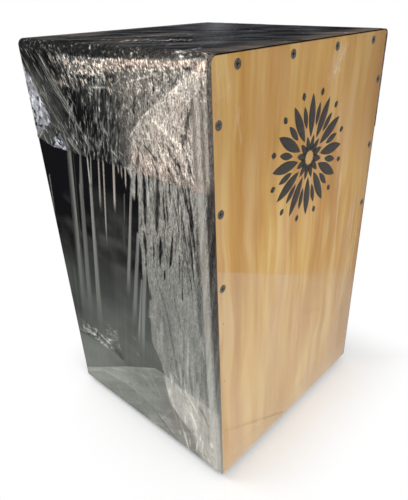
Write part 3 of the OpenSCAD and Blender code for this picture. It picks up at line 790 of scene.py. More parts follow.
def flap_film(u, v, seed):
    """Grey level, rosy and blue tint, wrinkle height and crumpledness of the top film down a side.

    The front part is crumpled and rosy silver, with painted glints and painted shade on its folds, up to a
    diagonal fold. Behind it the film is dark, with diagonal tension lines and painted glints, a milky patch
    at the back edge and a bright wad at the lower edge. A crown of painted highlights and glints runs under
    the rounded edge of the seat. The crumpledness scales the fine painted threads and flecks of the film's
    shader.
    """
    fine = grain(u, v, 1.2, 1.4, seed + 1) - 0.5
    specks = layers(u, v, 5.0, 5.0, seed + 2, 3) - 0.5
    upright = layers(u + 0.3 * v, v, 2.4, 20, seed + 3, 2) - 0.5
    smoke = layers(u, v, 34, 24, seed + 4) - 0.5
    ragged_u = u + 5 * (grain(u, v, 5, 5, seed + 7) - 0.5) + 2 * fine
    ragged_v = v + 4 * (grain(u, v, 4, 4, seed + 8) - 0.5) + 2 * fine
    # Dark rear part with its milky patch and wad, and painted glints on its folds
    sparks = fold_glints_and_shade(u, v, seed, "spark")
    level = 40 + 42 * smoke + 14 * upright + 26 * smooth(196, 222, u) * smooth(462, 436, v)
    level = level + smooth(170, 118, u) * 44 * np.clip(upright + 0.1, 0, 1)
    level = with_fold_glints(level + fold_glints_and_shade(u, v, seed, "flap") + sparks, u, v, FLAP_LINES)
    milky = smooth(-1.2, 1.2, ragged_u - curve("milky_edge", ragged_v)) * smooth(374, 380, v)
    level = mix(level, 137 + 116 * specks + 1.2 * fold_glints_and_shade(u, v, seed, "shard"), milky)
    wad = smooth(1.0, -1.0, ragged_v - curve("wad_top", u)) * zone(u, 220, 226, 256, 262)
    level = mix(level, 98 + 1.5 * fold_glints_and_shade(u, v, seed, "wad"), wad)
    # Crumpled front part, and what is above its fold, with painted glints and painted shade on their folds
    front = smooth(4, -4, v - curve("front_fold", u) + 4 * specks) * smooth(112, 105, u + 6 * specks)
    above = smooth(140, 100, u) * (1 - front)
    pleats = fold_glints_and_shade(u, v, seed, "pleat")
    crush = fold_glints_and_shade(u, v, seed, "crush")
    crumpled = 24 * specks + 20 * fine + crush
    base = curve("above_grey", u) - 12 * smooth(446, 460, v) + 34 * upright
    level = mix(level, base + crumpled, above)
    base = curve("front_grey", u) + 17 * smooth(398, 380, v) + 14 * upright
    level = mix(level, base + crumpled + pleats, front)
    level = with_fold_glints(level, u, v, FRONT_FLAP_LINES)
    # Painted shade along the dark folds
    dark = np.zeros(u.shape)
    for *line, half in FRONT_FLAP_DARKS:
        dark = np.maximum(dark, band(ragged_u, v, line, half, 0.8))
    level = level * (1 - 0.5 * dark)
    piped = 0.75 * smooth(25, 20, u) * smooth(474, 440, v)
    level = mix(level, curve("pipe_grey", u) + 30 * upright, piped)
    # Crown of painted highlights and glints, a painted highlight on the ridge under the seat's edge, and the
    # darker rolled edge with painted glints
    brim = curve("brim", u)
    crown = smooth(-6, 1, v - curve("crown_hem", u)) * smooth(brim + 0.5, brim - 2, v) * smooth(218, 165, u)
    crown_highlight = 0.7 * crown * (1 - 0.35 * smooth(90, 140, u))
    level = mix(level, 138 - 36 * smooth(140, 110, u) + 70 * specks, crown_highlight)
    level = level + fold_glints_and_shade(u, v, seed, "glitter") * np.clip(0.22 + crown, 0, 1) * smooth(246, 190, u)
    ridge_highlight = zone(v - brim, -7, -4, -1.5, 0.5) * smooth(170, 110, u)
    level = level + 30 * ridge_highlight * (1 + 1.6 * specks)
    rolled = smooth(-1.0, 1.8, v - brim + (1.5 + 4.5 * smooth(30, 70, u)) * specks)
    level = mix(level, 0.22 * level + 34 + fold_glints_and_shade(u, v, seed, "rim"), rolled)
    strip = smooth(4.6, 3.2, u)
    level = mix(level, 92 + 40 * fine, strip)
    shown = smooth(-2, 13, v - flap_edge(u) + 6 * specks)
    level = level * (1 - front * (1 - shown)) ** 0.45
    # Tints, with rosy warming the painted highlights, relief, and crumpledness for the painted threads and
    # flecks
    rosy = (front * (1.15 + 0.4 * smooth(398, 380, v)) + 0.9 * above) * (0.8 + 0.8 * smoke)
    rosy = rosy + 1.2 * crown * smooth(90, 170, level) + 1.5 * smooth(20, 90, sparks)
    blue = np.clip(milky * 0.8 + wad, 0, 1)
    rise = 0.3 * crease(u, v, 10, 8, seed + 10) + 0.3 * (specks + 0.5)
    rise = rise + 0.006 * np.clip(crush + pleats + 30, 0, 90)
    rise = rise * (0.2 + 0.8 * np.clip(front + above + crown + milky + wad, 0, 1))
    rise = rise + 0.3 * smooth(70, 120, level) * (1 - front)
    rough = np.clip(0.7 + 0.8 * (front + above + crown), 0, 1.4) * (1 - 0.6 * piped) * (1 - 0.5 * milky)
    return level, np.clip(rosy, 0, 1.8) * (1 - blue), blue, np.clip(rise, 0.02, None), rough


def tail_film(u, v, seed):
    """Grey level and wrinkle height of the loose end folded over the lower left side.

    Milky, brushed along its slanting edge, paler along that edge, with painted glints on its folds, a low
    arch and one crease with painted shade.
    """
    below = curve("tail_edge", u) - v
    smoke = layers(u, v, 44, 26, seed + 1) - 0.5
    brush = layers(v + 0.55 * u, u, 4, 90, seed + 2, 2) - 0.5
    level = 98 + 36 * smoke + 20 * brush + fold_glints_and_shade(u, v, seed, "tail")
    level = level + 14 * smooth(6, 0, below) * smooth(100, 125, u)
    level = level + 20 * (1 - smooth(6, 20, np.abs(below - 16))) * smooth(140, 200, u)
    level = with_fold_glints(level, u, v, TAIL_LINES)
    level = level - 12 * smooth(0, 6, curve("tail_arch", u) - v) * smooth(130, 165, u)
    level = level - 15 * smooth(130, 175, u) * smooth(92, 70, v)
    level = level + 16 * smooth(34, 16, v) * zone(u, 50, 75, 120, 150)
    level = level + fold_glints_and_shade(u, v, seed, "tail_front") * smooth(100, 80, u)
    # Painted shade along one crease
    dent = glint(u, v, (78, 0, 133, 38), 2.2)
    level = level * (1 - 0.5 * dent) * (0.94 + 0.06 * smooth(30, 110, u))
    return level, 0.1 + 0.3 * layers(u, v, 26, 20, seed + 3) + 0.3 * dent


def seat_film(x, y, seed):
    """Grey level, rosiness and wrinkle height of the film on the seat, x and y from its front left corner.

    Dark, with painted reflections: soft streaks across the line from the front left corner to the rear right
    one and a pale sash along that line. Dim red patches, rows of small painted glints and a warm painted
    reflection of the wood along the front edge lie over them.
    """
    along = 0.75 * x + 0.66 * y
    across = 0.66 * x - 0.75 * y
    streaks = layers(across, along, 36, 12, seed + 1, 4) - 0.5
    red_patches = smooth(0.46, 0.66, layers(across, along, 50, 44, seed + 2, 2)) * smooth(20, -30, across)
    # Painted reflection of the playing face's wood along the front edge
    wood = smooth(40, 6, y) * (0.55 + 0.45 * smooth(110, 200, x))
    sash = (1 - smooth(0, 27, np.abs(across - 2) + 40 * streaks)) * smooth(60, 180, along)
    level = 54 + 76 * streaks + 16 * red_patches + 24 * sash + 36 * wood
    level = level + 12 * smooth(160, 230, x) * smooth(110, 170, y) + fold_glints_and_shade(across, along, seed, "seat")
    rise = 0.15 + 0.3 * layers(across, along, 30, 10, seed + 5)
    return level, np.clip(0.9 * red_patches + 2.8 * wood, 0, 3), rise


def front_film(x, v, seed):
    """Cover, darkness and wrinkle height of the film over the playing face, x from its left edge.

    Almost clear. Below a straight edge that falls to the right a second turn of film makes the wood paler.
    There are painted glints near the top, pale upright streaks, creases with painted shadows of their folds
    and a dark sliver at the right edge.
    """
    soft = 1.6 + 26 * smooth(110, 240, x)
    lower = smooth(soft, -soft, v - curve("second_turn", x))
    smoke = layers(x, v, 60, 110, seed + 2)
    cover = 0.012 + 0.02 * smooth(470, 230, v) + 0.03 * (smoke - 0.5) * smooth(440, 300, v)
    cover = cover + lower * (
        0.15 + 0.06 * smooth(220, 40, v) + 0.08 * smooth(50, 10, v) + 0.07 * (smoke - 0.5))
    for *line, half, pale in FRONT_STREAKS:
        cover = over(cover, pale * band(x, v, line, half, 0.8))
    cover = cover + fold_glints_and_shade(x, v, seed, "front")
    for x0, v0, half in CLOSE_SPOTS:
        cover = cover * (1 - 0.75 * smooth(half + 1, half - 1, np.hypot(x - x0, v - v0)))
    sliver = curve("dark_sliver", v)
    dark = smooth(sliver - 0.6, sliver + 0.6, x)
    # Painted shadows of the folds along the creases
    for *line, half, depth in FRONT_FOLD_SHADOWS:
        dark = dark + depth * band(x, v, line, half, 0.9)
    rise = 0.1 + 0.25 * smoke + 0.4 * smooth(0.08, 0.3, cover)
    return np.clip(cover, 0, 0.6), np.clip(dark, 0, 1), rise


def film_finish(name, clear):
    """Film with a tint and a cover from the mesh, fine grain and fine bump.

    The cover of clear film is how much it hides. Film on lacquer hides alike all over, is glossy by its
    cover and has fine painted threads and flecks of glint and shade by the crumpledness in its rough
    attribute.
    Its base layer has no specular: its reflections and glints are painted in its tint.
    """
    made = bpy.data.materials.get(name)
    if made:
        return made
    made, shader, place = finish_of(name, {
        "Specular IOR Level": 0.2 if clear else 0.0, "Alpha": FILM_COVER, "Coat Roughness": 0.3})
    tint = place.node("ShaderNodeAttribute", {"attribute_name": "tint"}, None, "Color")
    cover = place.node("ShaderNodeAttribute", {"attribute_name": "cover"}, None, "Fac")
    fine = place.noise((900, 900, 700), 3.0, 0.6)
    if clear:
        (cover * (0.78 + 0.44 * fine)).into(shader, "Alpha")
        tint.into(shader, "Base Color")
    else:
        (0.4 * cover).into(shader, "Coat Weight")
        rough = place.node("ShaderNodeAttribute", {"attribute_name": "rough"}, None, "Fac")
        # Fine painted threads and flecks of glint and shade, by the crumpledness
        thread = place.noise((1300, 1300, 140), 2.0, 0.6).ease(0.36, 0.64)
        fleck = fine.ease(0.36, 0.64)
        speckle = 0.88 + 0.24 * fine + rough * (0.8 * thread + 0.55 * fleck - 0.675)
        tint.scaled(speckle).into(shader, "Base Color")
    (0.22 + 0.22 * fine).into(shader, "Roughness")
    fine.bumped(shader, 0.25, 0.0004)
    return made


def film_sheet(made, cover, tints, rough, node, clear=False, **cut):
    """On lacquer the tint also holds the black that shows through the film.
    """
    spread(made.data, "cover", cover)
    spread(made.data, "rough", rough + 0 * cover)
    if not clear:
        black = np.array(bpy.context.scene.cajon_wood.lacquer)
        tints = mix(black, tints, (cover / FILM_COVER)[..., None])
    tinted(made.data, "tint", np.clip(tints, 0, 1))
    made.data.materials.append(film_finish("film_clear" if clear else "film_on_lacquer", clear))
    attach(made, "box")
    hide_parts(node)


def tint_of(rosy, blue=0.0):
    """Film white, turned rosy or bluish by two masks; rosiness below 0 turns it mossy."""
    white = np.array(bpy.context.scene.cajon_film.white)
    mossy = np.clip(-rosy, 0, 1)[..., None]
    white = white * mix(1, MOSSY, mossy)
    rosy = np.clip(rosy, 0, 3)[..., None]
    blue = np.clip(np.zeros(rosy.shape[:-1]) + blue, 0, 1)[..., None]
    return np.clip(white * mix(mix(GREENISH, ROSY, rosy), BLUISH, blue), 0, 1)


def side_sheet(side, name, step_u, step_v):
    """Film on a side of the box: x stands off by the gap and the wrinkle height, y and z are the grid."""
    film = bpy.context.scene.cajon_film
    gap = film.gap / MM
    top = HEIGHT - film.seat_round / MM
    u, v = np.meshgrid(np.linspace(-gap, DEPTH + gap, int(DEPTH / step_u)),
                       np.linspace(0, top, int(top / step_v)))
    pattern_u = u if side < 0 else DEPTH - u
    level, rosy, rise, rough = side_film(pattern_u, v, SEEDS[name])
    held = smooth(0, 7, u) * smooth(0, 7, DEPTH - u)
    x = side * (HALF_W + gap + rise * held * film.relief)
    made = grid_mesh(f"film_{name}", np.stack((x, FRONT + u, BOTTOM + v), -1), side < 0)
    film_sheet(made, haze_and_reflection_of(level), tint_of(rosy), rough, "film_wrap", flat=(DEPTH * MM, top * MM),
               held="stretched", rests_on=[f"{name}_side"])


# Operators, one for each piece or group of like pieces


class CAJON_OT_boards(bpy.types.Operator):
    """Black lacquer outside the box and plain wood inside it"""

    bl_idname = "cajon.boards"
    bl_label = "Boards"

    def execute(self, context):
        wood = context.scene.cajon_wood
        black = self.lacquer(wood, "black_lacquer", 0.02)
        dress(black, "left_side", "right_side", "base_panel", "back_panel")
        # No gloss on the seat: its reflections are painted in the film over it
        dress(self.lacquer(wood, "black_seat", 0.0), "seat_panel")
        return {"FINISHED"}

    def lacquer(self, wood, name, gloss):
        """Lacquer where a point is outside the box and plain wood fibre where it is inside."""
        made, shader, place = finish_of(name, {"Specular IOR Level": gloss})
        x, y, z = place.axes()
        inner_x = (SEAT_HIGH[0] - (LEFT_HIGH[0] - LEFT_LOW[0]) + 0.4) * MM
        inside = (abs(x).under(inner_x) * y.under((BACK_LOW[1] + 0.1) * MM)
                  * z.under((SEAT_LOW[2] + 0.1) * MM) * (1 - z.under((BASE_HIGH[2] - 0.1) * MM)))
        mist = place.noise((14, 14, 14), 3.0)
        fibre = place.noise((260, 260, 9), 3.0, 0.6)
        black = mist.blend(shade(wood.lacquer, 0.75), shade(wood.lacquer, 1.35))
        plain = fibre.blend(wood.bare_dark, wood.bare_pale)
        inside.blend(black, plain).into(shader, "Base Color")
        (inside * 0.15 + 0.42 + 0.14 * mist).into(shader, "Roughness")
        (fibre * inside + place.noise((500, 500, 500), 2.0) * 0.3).bumped(shader, 0.12, 0.0003)
        return made


class CAJON_OT_tapa(bpy.types.Operator):
    """Pine veneer with upright bands on the playing face"""

    bl_idname = "cajon.tapa"
    bl_label = "Playing face"

    def execute(self, context):
        wood = context.scene.cajon_wood
        made, shader, place = finish_of("pine_face", {"Specular IOR Level": 0.08})
        x, y, z = place.axes()
        shifted = x + 0.030 * place.noise((7, 7, 5), 2.0) + 0.007 * place.noise((34, 34, 18), 1.0)
        mean_shift = (0.030 + 0.007) / 2
        wavy = place.node("ShaderNodeCombineXYZ", None, {0: shifted, 1: y, 2: z})
        broad = wavy.noise((32, 1, 4.2), 1.5, 0.5)
        narrow = wavy.noise((110, 1, 8.0), 2.0, 0.55)
        fibre = wavy.noise((430, 430, 8), 3.0, 0.6)
        bold = 0.60 + 0.24 * z.ease(0.16, 0.46)
        tone = 0.5 + bold * (0.66 * broad + 0.34 * narrow - 0.5) + 0.14 * (fibre - 0.5)
        colour = tone.node("ShaderNodeValToRGB", {"stops": (
            (0.40, wood.pine_late), (0.47, wood.pine_honey), (0.53, wood.pine_light),
            (0.61, wood.pine_pale))}, {"Fac": tone})
        pink = wavy.noise((26, 1, 7.0), 1.0).ease(0.52, 0.66)
        colour = (0.5 * pink).blend(colour, wood.pine_pink)
        cream = wavy.noise((46, 1, 6.5), 2.0).ease(0.53, 0.68)
        colour = (0.5 * cream).blend(colour, wood.pine_cream)
        pores = fibre.ease(0.60, 0.80)
        colour = (0.42 * pores).blend(colour, shade(wood.pine_late, 0.85))
        for middle, height, half, rise, share, wash in (
                (-0.078, 0.10, 0.045, 0.16, 0.45, wood.pine_pale),
                (0.036, 0.21, 0.040, 0.14, 0.50, wood.pine_late),
                (-0.140, 0.38, 0.030, 0.10, 0.35, wood.pine_pale),
                (-0.112, 0.31, 0.025, 0.08, 0.35, wood.pine_late),
                (-0.040, 0.13, 0.045, 0.14, 0.35, wood.pine_pale)):
            beside = abs(shifted - middle - mean_shift).ease(0.0, half)
            beyond = abs(z - height).ease(0.0, rise)
            colour = (share * ((1 - beside) * (1 - beyond))).blend(colour, wash)
        # An amber tone over the upper middle of the playing face
        glow = z.ease(0.26, 0.36) * (1 - abs(x + 0.045).ease(0.06, 0.11))
        colour = (0.22 * glow).blend(colour, wood.pine_amber)
        # Painted shade: darker towards the top and the right edge
        dim = 0.36 * z.ease(0.29, 0.45) + 0.36 * x.ease(0.02, 0.15) + 0.14 * x.ease(0.11, 0.15)
        dim.blend(colour, shade(wood.pine_late, 0.62)).into(shader, "Base Color")
        (0.36 + 0.16 * narrow).into(shader, "Roughness")
        (fibre + 0.6 * narrow).bumped(shader, 0.10, 0.0003)
        dress(made, "tapa")
        return {"FINISHED"}


class CAJON_OT_rosette(bpy.types.Operator):
    """Printed rosette: leaves and dots round a middle, flat on the playing face"""

    bl_idname = "cajon.rosette"
    bl_label = "Rosette print"

    def leaves(self, count, turn, near, far, half):
        """Grids of leaves: from near to far along a spoke, and across it by half times a sine."""
        along, across, spoke = np.meshgrid(np.linspace(0, 1, 13), np.linspace(-1, 1, 5), np.arange(count),
                                           indexing="ij")
        angle = 2 * np.pi * (spoke + turn) / count
        reach = near + (far - near) * along
        side = half * across * np.sin(np.pi * along) ** 0.8
        points = np.stack((reach * np.sin(angle) + side * np.cos(angle),
                           reach * np.cos(angle) - side * np.sin(angle)), -1)
        return np.moveaxis(points, 2, 0)

    def execute(self, context):
        rosette = context.scene.cajon_rosette
        reach = rosette.radius / MM
        count = rosette.petals
        groups = [
            self.leaves(count, turn, near * reach, far * reach, half * reach)
            for turn, near, far, half in (
                (0.0, 0.30, 0.93, 0.085), (0.5, 0.46, 0.80, 0.055), (0.5, 0.88, 1.00, 0.045),
                (0.5, 0.09, 0.34, 0.050), (0.0, 0.10, 0.22, 0.020))]
        flat = np.concatenate([g.reshape(count, -1, 2) for g in groups]).reshape(-1, 2)
        rows, columns = groups[0].shape[1:3]
        index = np.arange(rows * columns).reshape(rows, columns)
        one = np.stack((index[:-1, :-1], index[:-1, 1:], index[1:, 1:], index[1:, :-1]), -1).reshape(-1, 4)
        start = np.arange(len(flat) // (rows * columns)) * rows * columns
        quads = (one[None] + start[:, None, None]).reshape(-1, 4)
        lift = np.full(len(flat), FRONT - 0.04)
        points = np.stack((flat[:, 0], lift, flat[:, 1] + rosette.height / MM), -1)
        made = quads_mesh("rosette_print", points, quads)
        thick = made.modifiers.new("ink", "SOLIDIFY")
        thick.thickness = 0.03 * MM
        thick.offset = 0
        ink, shader, place = finish_of("rosette_ink", {"Specular IOR Level": 0.25})
        worn = place.noise((240, 240, 160), 3.0, 0.6)
        worn.ease(0.45, 0.75).blend(rosette.ink, shade(rosette.ink, 2.6)).into(shader, "Base Color")
        (0.5 + 0.2 * worn).into(shader, "Roughness")
        worn.bumped(shader, 0.1, 0.0002)
        made.data.materials.append(ink)
        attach(made, "box")
        return {"FINISHED"}


class CAJON_OT_fasteners(bpy.types.Operator):
    """Black screws and bright small hardware"""

    bl_idname = "cajon.fasteners"
    bl_label = "Fasteners"

    def execute(self, context):
        for finish, nodes in (
                ("black_screw", ("tapa_screws", "back_screws", "bearing_screws", "clip_screws")),
                ("brad_steel", ("tapa_brads",)),
                ("bright_steel", ("foot_washers", "foot_screws", "snare_clip_left", "snare_clip_right"))):
            dress(metal_finish(finish), *nodes)
        return {"FINISHED"}


class CAJON_OT_joinery(bpy.types.Operator):
    """Pine glue blocks and beech dowels"""

    bl_idname = "cajon.joinery"
    bl_label = "Glue blocks and dowels"

    def execute(self, context):
        wood = context.scene.cajon_wood
        pine, shader, place = finish_of("pine_block", {"Specular IOR Level": 0.25})
        ring = place.noise((150, 8, 150), 3.0, 0.6)
        ring.blend(wood.pine_light, wood.pine_late).into(shader, "Base Color")
        (0.55 + 0.2 * ring).into(shader, "Roughness")
        ring.bumped(shader, 0.2, 0.0004)
        dress(pine, "glue_block_top_left", "glue_block_top_right", "glue_block_bottom_left",
              "glue_block_bottom_right")
        dress(beech_finish("beech_dowel", (14, 400, 400)), "seat_dowels", "base_dowels")
        return {"FINISHED"}


class CAJON_OT_feet(bpy.types.Operator):
    """Moulded rubber feet"""

    bl_idname = "cajon.feet"
    bl_label = "Feet"

    def execute(self, context):
        rubber, shader, place = finish_of("foot_rubber", {"Specular IOR Level": 0.3})
        pebble = place.noise((1400, 1400, 1400), 2.0)
        dust = place.noise((60, 60, 160), 3.0)
        grey = (0.5 * pebble + 0.5 * dust).blend((0.012, 0.012, 0.012), (0.05, 0.048, 0.046))
        grey.into(shader, "Base Color")
        (0.62 + 0.25 * dust).into(shader, "Roughness")
        pebble.bumped(shader, 0.3, 0.0003)
        dress(rubber, "foot_front_left", "foot_front_right", "foot_back_left", "foot_back_right")
        return {"FINISHED"}


class CAJON_OT_snare(bpy.types.Operator):
    """Beech bar and lever, and snare strands as coiled wire"""

    bl_idname = "cajon.snare"
    bl_label = "Snare"
    turn_steps = 9
    ring_steps = 5

    def coils(self, node, snare):
        """Coils of one set: wire centres on a helix round a leaning straight line, and rings round them."""
        low, high = box_mm(node)
        wire = snare.wire / MM / 2
        count = snare.strands
        reach = (high[0] - low[0] - (count - 1) * snare.spacing / MM) / 2
        radius = reach - wire
        length = high[2] - low[2]
        turns = length / (snare.pitch / MM)
        strand, t, ring = np.meshgrid(
            np.arange(count), np.linspace(0, 1, int(turns * self.turn_steps)),
            2 * np.pi * np.arange(self.ring_steps) / self.ring_steps, indexing="ij")
        angle = 2 * np.pi * turns * t
        out = radius + wire * np.cos(ring)
        foot_y = high[1] - reach
        tip_y = low[1] + reach
        x = low[0] + reach + strand * snare.spacing / MM + out * np.cos(angle)
        y = foot_y + (tip_y - foot_y) * t + out * np.sin(angle)
        z = low[2] + wire + (length - 2 * wire) * t + wire * np.sin(ring)
        points = np.stack((x, y, z), -1)
        index = np.arange(points[..., 0].size).reshape(points.shape[:3])
        beside = np.roll(index, -1, axis=2)
        quads = np.stack((index[:, :-1], beside[:, :-1], beside[:, 1:], index[:, 1:]), -1).reshape(-1, 4)
        return points.reshape(-1, 3), quads

    def execute(self, context):
        snare = context.scene.cajon_snare
        dress(beech_finish("beech_turned", (14, 380, 380)), "snare_bar", "snare_bearing_left",
              "snare_bearing_right")
        dress(beech_finish("beech_lever", (380, 14, 380)), "snare_lever")
        steel = metal_finish("snare_steel")
        for side in ("left", "right"):
            node = f"snare_strands_{side}"
            made = quads_mesh(f"snare_coils_{side}", *self.coils(node, snare))
            made.data.materials.append(steel)
            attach(made, "snare")
            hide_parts(node)
        return {"FINISHED"}


class CAJON_OT_film_sides(bpy.types.Operator):
    """Stretch film on the left and right sides"""

    bl_idname = "cajon.film_sides"
    bl_label = "Film, sides"

    def execute(self, context):
        side_sheet(-1, "left", 0.92, 1.5)
        side_sheet(1, "right", 1.6, 2.2)
        return {"FINISHED"}


class CAJON_OT_film_front(bpy.types.Operator):
    """Stretch film over the playing face"""

    bl_idname = "cajon.film_front"
    bl_label = "Film, front"

    def execute(self, context):
        film = context.scene.cajon_film
        gap = film.gap / MM
        bend = film.seat_round / MM
        across = np.linspace(-HALF_W - gap, HALF_W + gap, 280)
        inset = np.clip(np.abs(across) - (HALF_W - bend), 0, bend)
        top = HEIGHT - bend + np.sqrt(np.clip(bend ** 2 - inset ** 2, 0, None))
        x, t = np.meshgrid(across, np.linspace(0, 1, 340))
        v = t * top[None, :]
        cover, dark, rise = front_film(x + HALF_W, v, SEEDS["front"])
        held = smooth(0, 7, HALF_W - np.abs(x))
        y = FRONT - gap - rise * held * film.relief
        made = grid_mesh("film_front", np.stack((x, y, BOTTOM + v), -1))
        # Dark brown where the sliver and the painted fold shadows are
        tints = mix(np.array(film.clear_tint), np.array(film.sliver_and_shadow_tint), dark[..., None])
        film_sheet(made, np.maximum(cover, 0.6 * dark), tints, 0.0, "film_wrap", True,
                   flat=(WIDTH * MM, HEIGHT * MM), held="stretched", rests_on=["tapa"])
        return {"FINISHED"}


class CAJON_OT_film_back(bpy.types.Operator):
    """Stretch film over the back, cut out round the sound hole"""

    bl_idname = "cajon.film_back"
    bl_label = "Film, back"
    margin = 6

    def execute(self, context):
        """Spokes of film from a circle round the sound hole to the edges of the back."""
        film = context.scene.cajon_film
        gap = film.gap / MM
        bend = film.seat_round / MM
        seed = SEEDS["back"]
        hole = next(m for m in frame["record"]["mounts"] if m["name"] == "sound_hole")
        middle_z = hole["pos_m"][2] / MM
        radius = hole["dims"]["r_mm"] + self.margin
        angle, t = np.meshgrid(np.linspace(0, 2 * np.pi, 920, endpoint=False), np.linspace(0, 1, 104))
        c = np.cos(angle)
        s = np.sin(angle)
        least = 1e-6
        up = (TOP - middle_z) / np.clip(s, least, None)
        down = (middle_z - BOTTOM) / np.clip(-s, least, None)
        wide = (HALF_W + gap) / np.clip(np.abs(c), least, None)
        reach = np.minimum(np.minimum(up, down), wide)
        spoke = radius + (reach - radius) * t
        z = middle_z + spoke * s
        past = np.clip(z - (TOP - bend), 0, bend)
        limit = HALF_W + gap - bend + np.sqrt(np.clip((bend + gap) ** 2 - past ** 2, 0, None))
        x = np.clip(spoke * c, -limit, limit)
        v = z - BOTTOM
        u = x + HALF_W
        lean = u + 0.05 * v
        streaks = layers(lean, v, 9, 160, seed + 1) - 0.5
        smoke = layers(u, v, 70, 60, seed + 2) - 0.5
        spokes = layers(angle * 40, t * 30, 3, 30, seed + 3) - 0.5
        pucker = smooth(34, 0, spoke - radius)
        # Milky film with painted glints and painted shade on its folds, and puckers round the hole
        level = curve("back_grey", v) + 24 * streaks + 30 * smoke + fold_glints_and_shade(u, v, seed, "back")
        level = level + pucker * (26 + 90 * spokes)
        held = smooth(0, 8, HALF_W - np.abs(x)) * smooth(0, 6, TOP - z)
        rise = 0.2 + 0.7 * layers(lean, v, 10, 120, seed + 4) + 0.6 * pucker * (spokes + 0.5)
        y = BACK + gap + rise * held * film.relief * smooth(0, 0.03, t)
        made = grid_mesh("film_back", np.stack((x, y, z), -1), False, True)
        area = (WIDTH * HEIGHT - np.pi * radius ** 2) * MM * MM
        film_sheet(made, haze_and_reflection_of(level), tint_of(np.full(level.shape, -0.3)), 0.4, "film_wrap",
                   flat=(WIDTH * MM, HEIGHT * MM), held="stretched", rests_on=["back_panel"], area=area)
        return {"FINISHED"}


class CAJON_OT_film_cap(bpy.types.Operator):
    """Film over the seat, folded down both sides"""

    bl_idname = "cajon.film_cap"
    bl_label = "Film, top"
    lift = 0.5
    steps = (130, 15, 131, 10, 31)

    def execute(self, context):
        """Five legs across the box: up the left side, round its edge, over the seat, round and down."""
        film = context.scene.cajon_film
        gap = film.gap / MM + self.lift
        bend = film.seat_round / MM
        flap_v = HEIGHT - film.flap / MM
        straight = HEIGHT - bend
        arc = np.pi / 2 * bend
        flat_half = HALF_W - bend
        across = np.concatenate([
            k + np.linspace(0, 1, count)[min(k, 1):] for k, count in enumerate(self.steps)])
        u, s = np.meshgrid(np.linspace(-gap, DEPTH + gap, 306), across)
        leg = np.clip(np.floor(s), 0, len(self.steps) - 1).astype(int)
        part = s - leg
        turn = part * np.pi / 2
        edge_left = flap_edge(u)
        edge_right = flap_edge(DEPTH - u) - 4
        v_left = edge_left + (straight - edge_left) * part
        v_right = straight + (edge_right - straight) * part
        legs = [leg == k for k in range(4)]
        none = 0 * s
        x_body = np.select(legs, [
            none - HALF_W, -flat_half - bend * np.cos(turn), -flat_half + 2 * flat_half * part,
            flat_half + bend * np.sin(turn)], none + HALF_W)
        v_body = np.select(legs, [
            v_left, straight + bend * np.sin(turn), none + HEIGHT, straight + bend * np.cos(turn)], v_right)
        normal_x = np.select(legs, [none - 1, -np.cos(turn), none, np.sin(turn)], none + 1)
        normal_z = np.select(legs, [none, np.sin(turn), none + 1, np.cos(turn)], none)
        unrolled = np.select([leg == 0, leg == 1, leg == 3], [
            v_left, straight + arc * part, HEIGHT + arc * (1 - part) - 5], v_right)
        on_seat = smooth(-HALF_W + 1.5, -HALF_W + 9, x_body) * smooth(HALF_W - 1.5, HALF_W - 9, x_body)
        on_left = (x_body < 0) * (1 - on_seat)
        on_right = (x_body >= 0) * (1 - on_seat)
        left = flap_film(u, unrolled, SEEDS["left_flap"])
        right = flap_film(DEPTH - u, unrolled, SEEDS["right_flap"])
        seat_level, seat_rosy, seat_rise = seat_film(x_body + HALF_W, u, SEEDS["seat"])
        seat = (seat_level, seat_rosy, 0.8 * (1 - seat_rosy), seat_rise, 0.4)
        level, rosy, blue, rise, rough = (
            a * on_left + b * on_right + c * on_seat for a, b, c in zip(left, right, seat))
        held = smooth(0, 6, u) * smooth(0, 6, DEPTH - u)
        out = gap + rise * held * film.relief
        points = np.stack((x_body + normal_x * out, FRONT + u, BOTTOM + v_body + normal_z * out), -1)
        made = grid_mesh("film_cap_sheet", points)
        length = WIDTH - 2 * bend + 2 * arc + 2 * (straight - flap_v)
        cover = haze_and_reflection_of(level)
        for flap, side_u, name in ((leg == 0, u, "left"), (leg == 4, DEPTH - u, "right")):
            under = side_film(side_u[flap], v_body[flap], SEEDS[name])[0]
            cover[flap] = over(cover[flap], haze_and_reflection_of(under))
        film_sheet(made, cover, tint_of(rosy, blue), rough, "film_cap", flat=(DEPTH * MM, length * MM),
                   held="stretched", rests_on=["seat_panel", "film_left", "film_right"])
        return {"FINISHED"}


class CAJON_OT_film_tail(bpy.types.Operator):
    """Loose end of the film, folded up over the lower left side"""

    bl_idname = "cajon.film_tail"
    bl_label = "Film, loose end"
    lift = 0.2

    def execute(self, context):
        """Upright lines from the lower edge to the slanting edge of the loose end."""
        film = context.scene.cajon_film
        gap = film.gap / MM + self.lift
        u, t = np.meshgrid(np.linspace(2, DEPTH - 1, 284), np.linspace(0, 1, 90))
        edge = curve("tail_edge", u)
        v = edge * t
        level, rise = tail_film(u, v, SEEDS["tail"])
        held = smooth(0, 8, u) * smooth(0, 6, DEPTH - u) * smooth(0, 12, edge - v)
        x = -(HALF_W + gap + rise * held * film.relief)
        made = grid_mesh("film_tail", np.stack((x, FRONT + u, BOTTOM + v), -1), True)
        area = float(np.mean(edge) * np.ptp(u)) * MM * MM
        cover = over(haze_and_reflection_of(level), haze_and_reflection_of(side_film(u, v, SEEDS["left"])[0]))
        film_sheet(made, cover, tint_of(curve("tail_rosy", u)), 0.08, "film_wrap",
                   flat=(DEPTH * MM, 110 * MM), held="folded", rests_on=["film_left"], area=area)
        return {"FINISHED"}


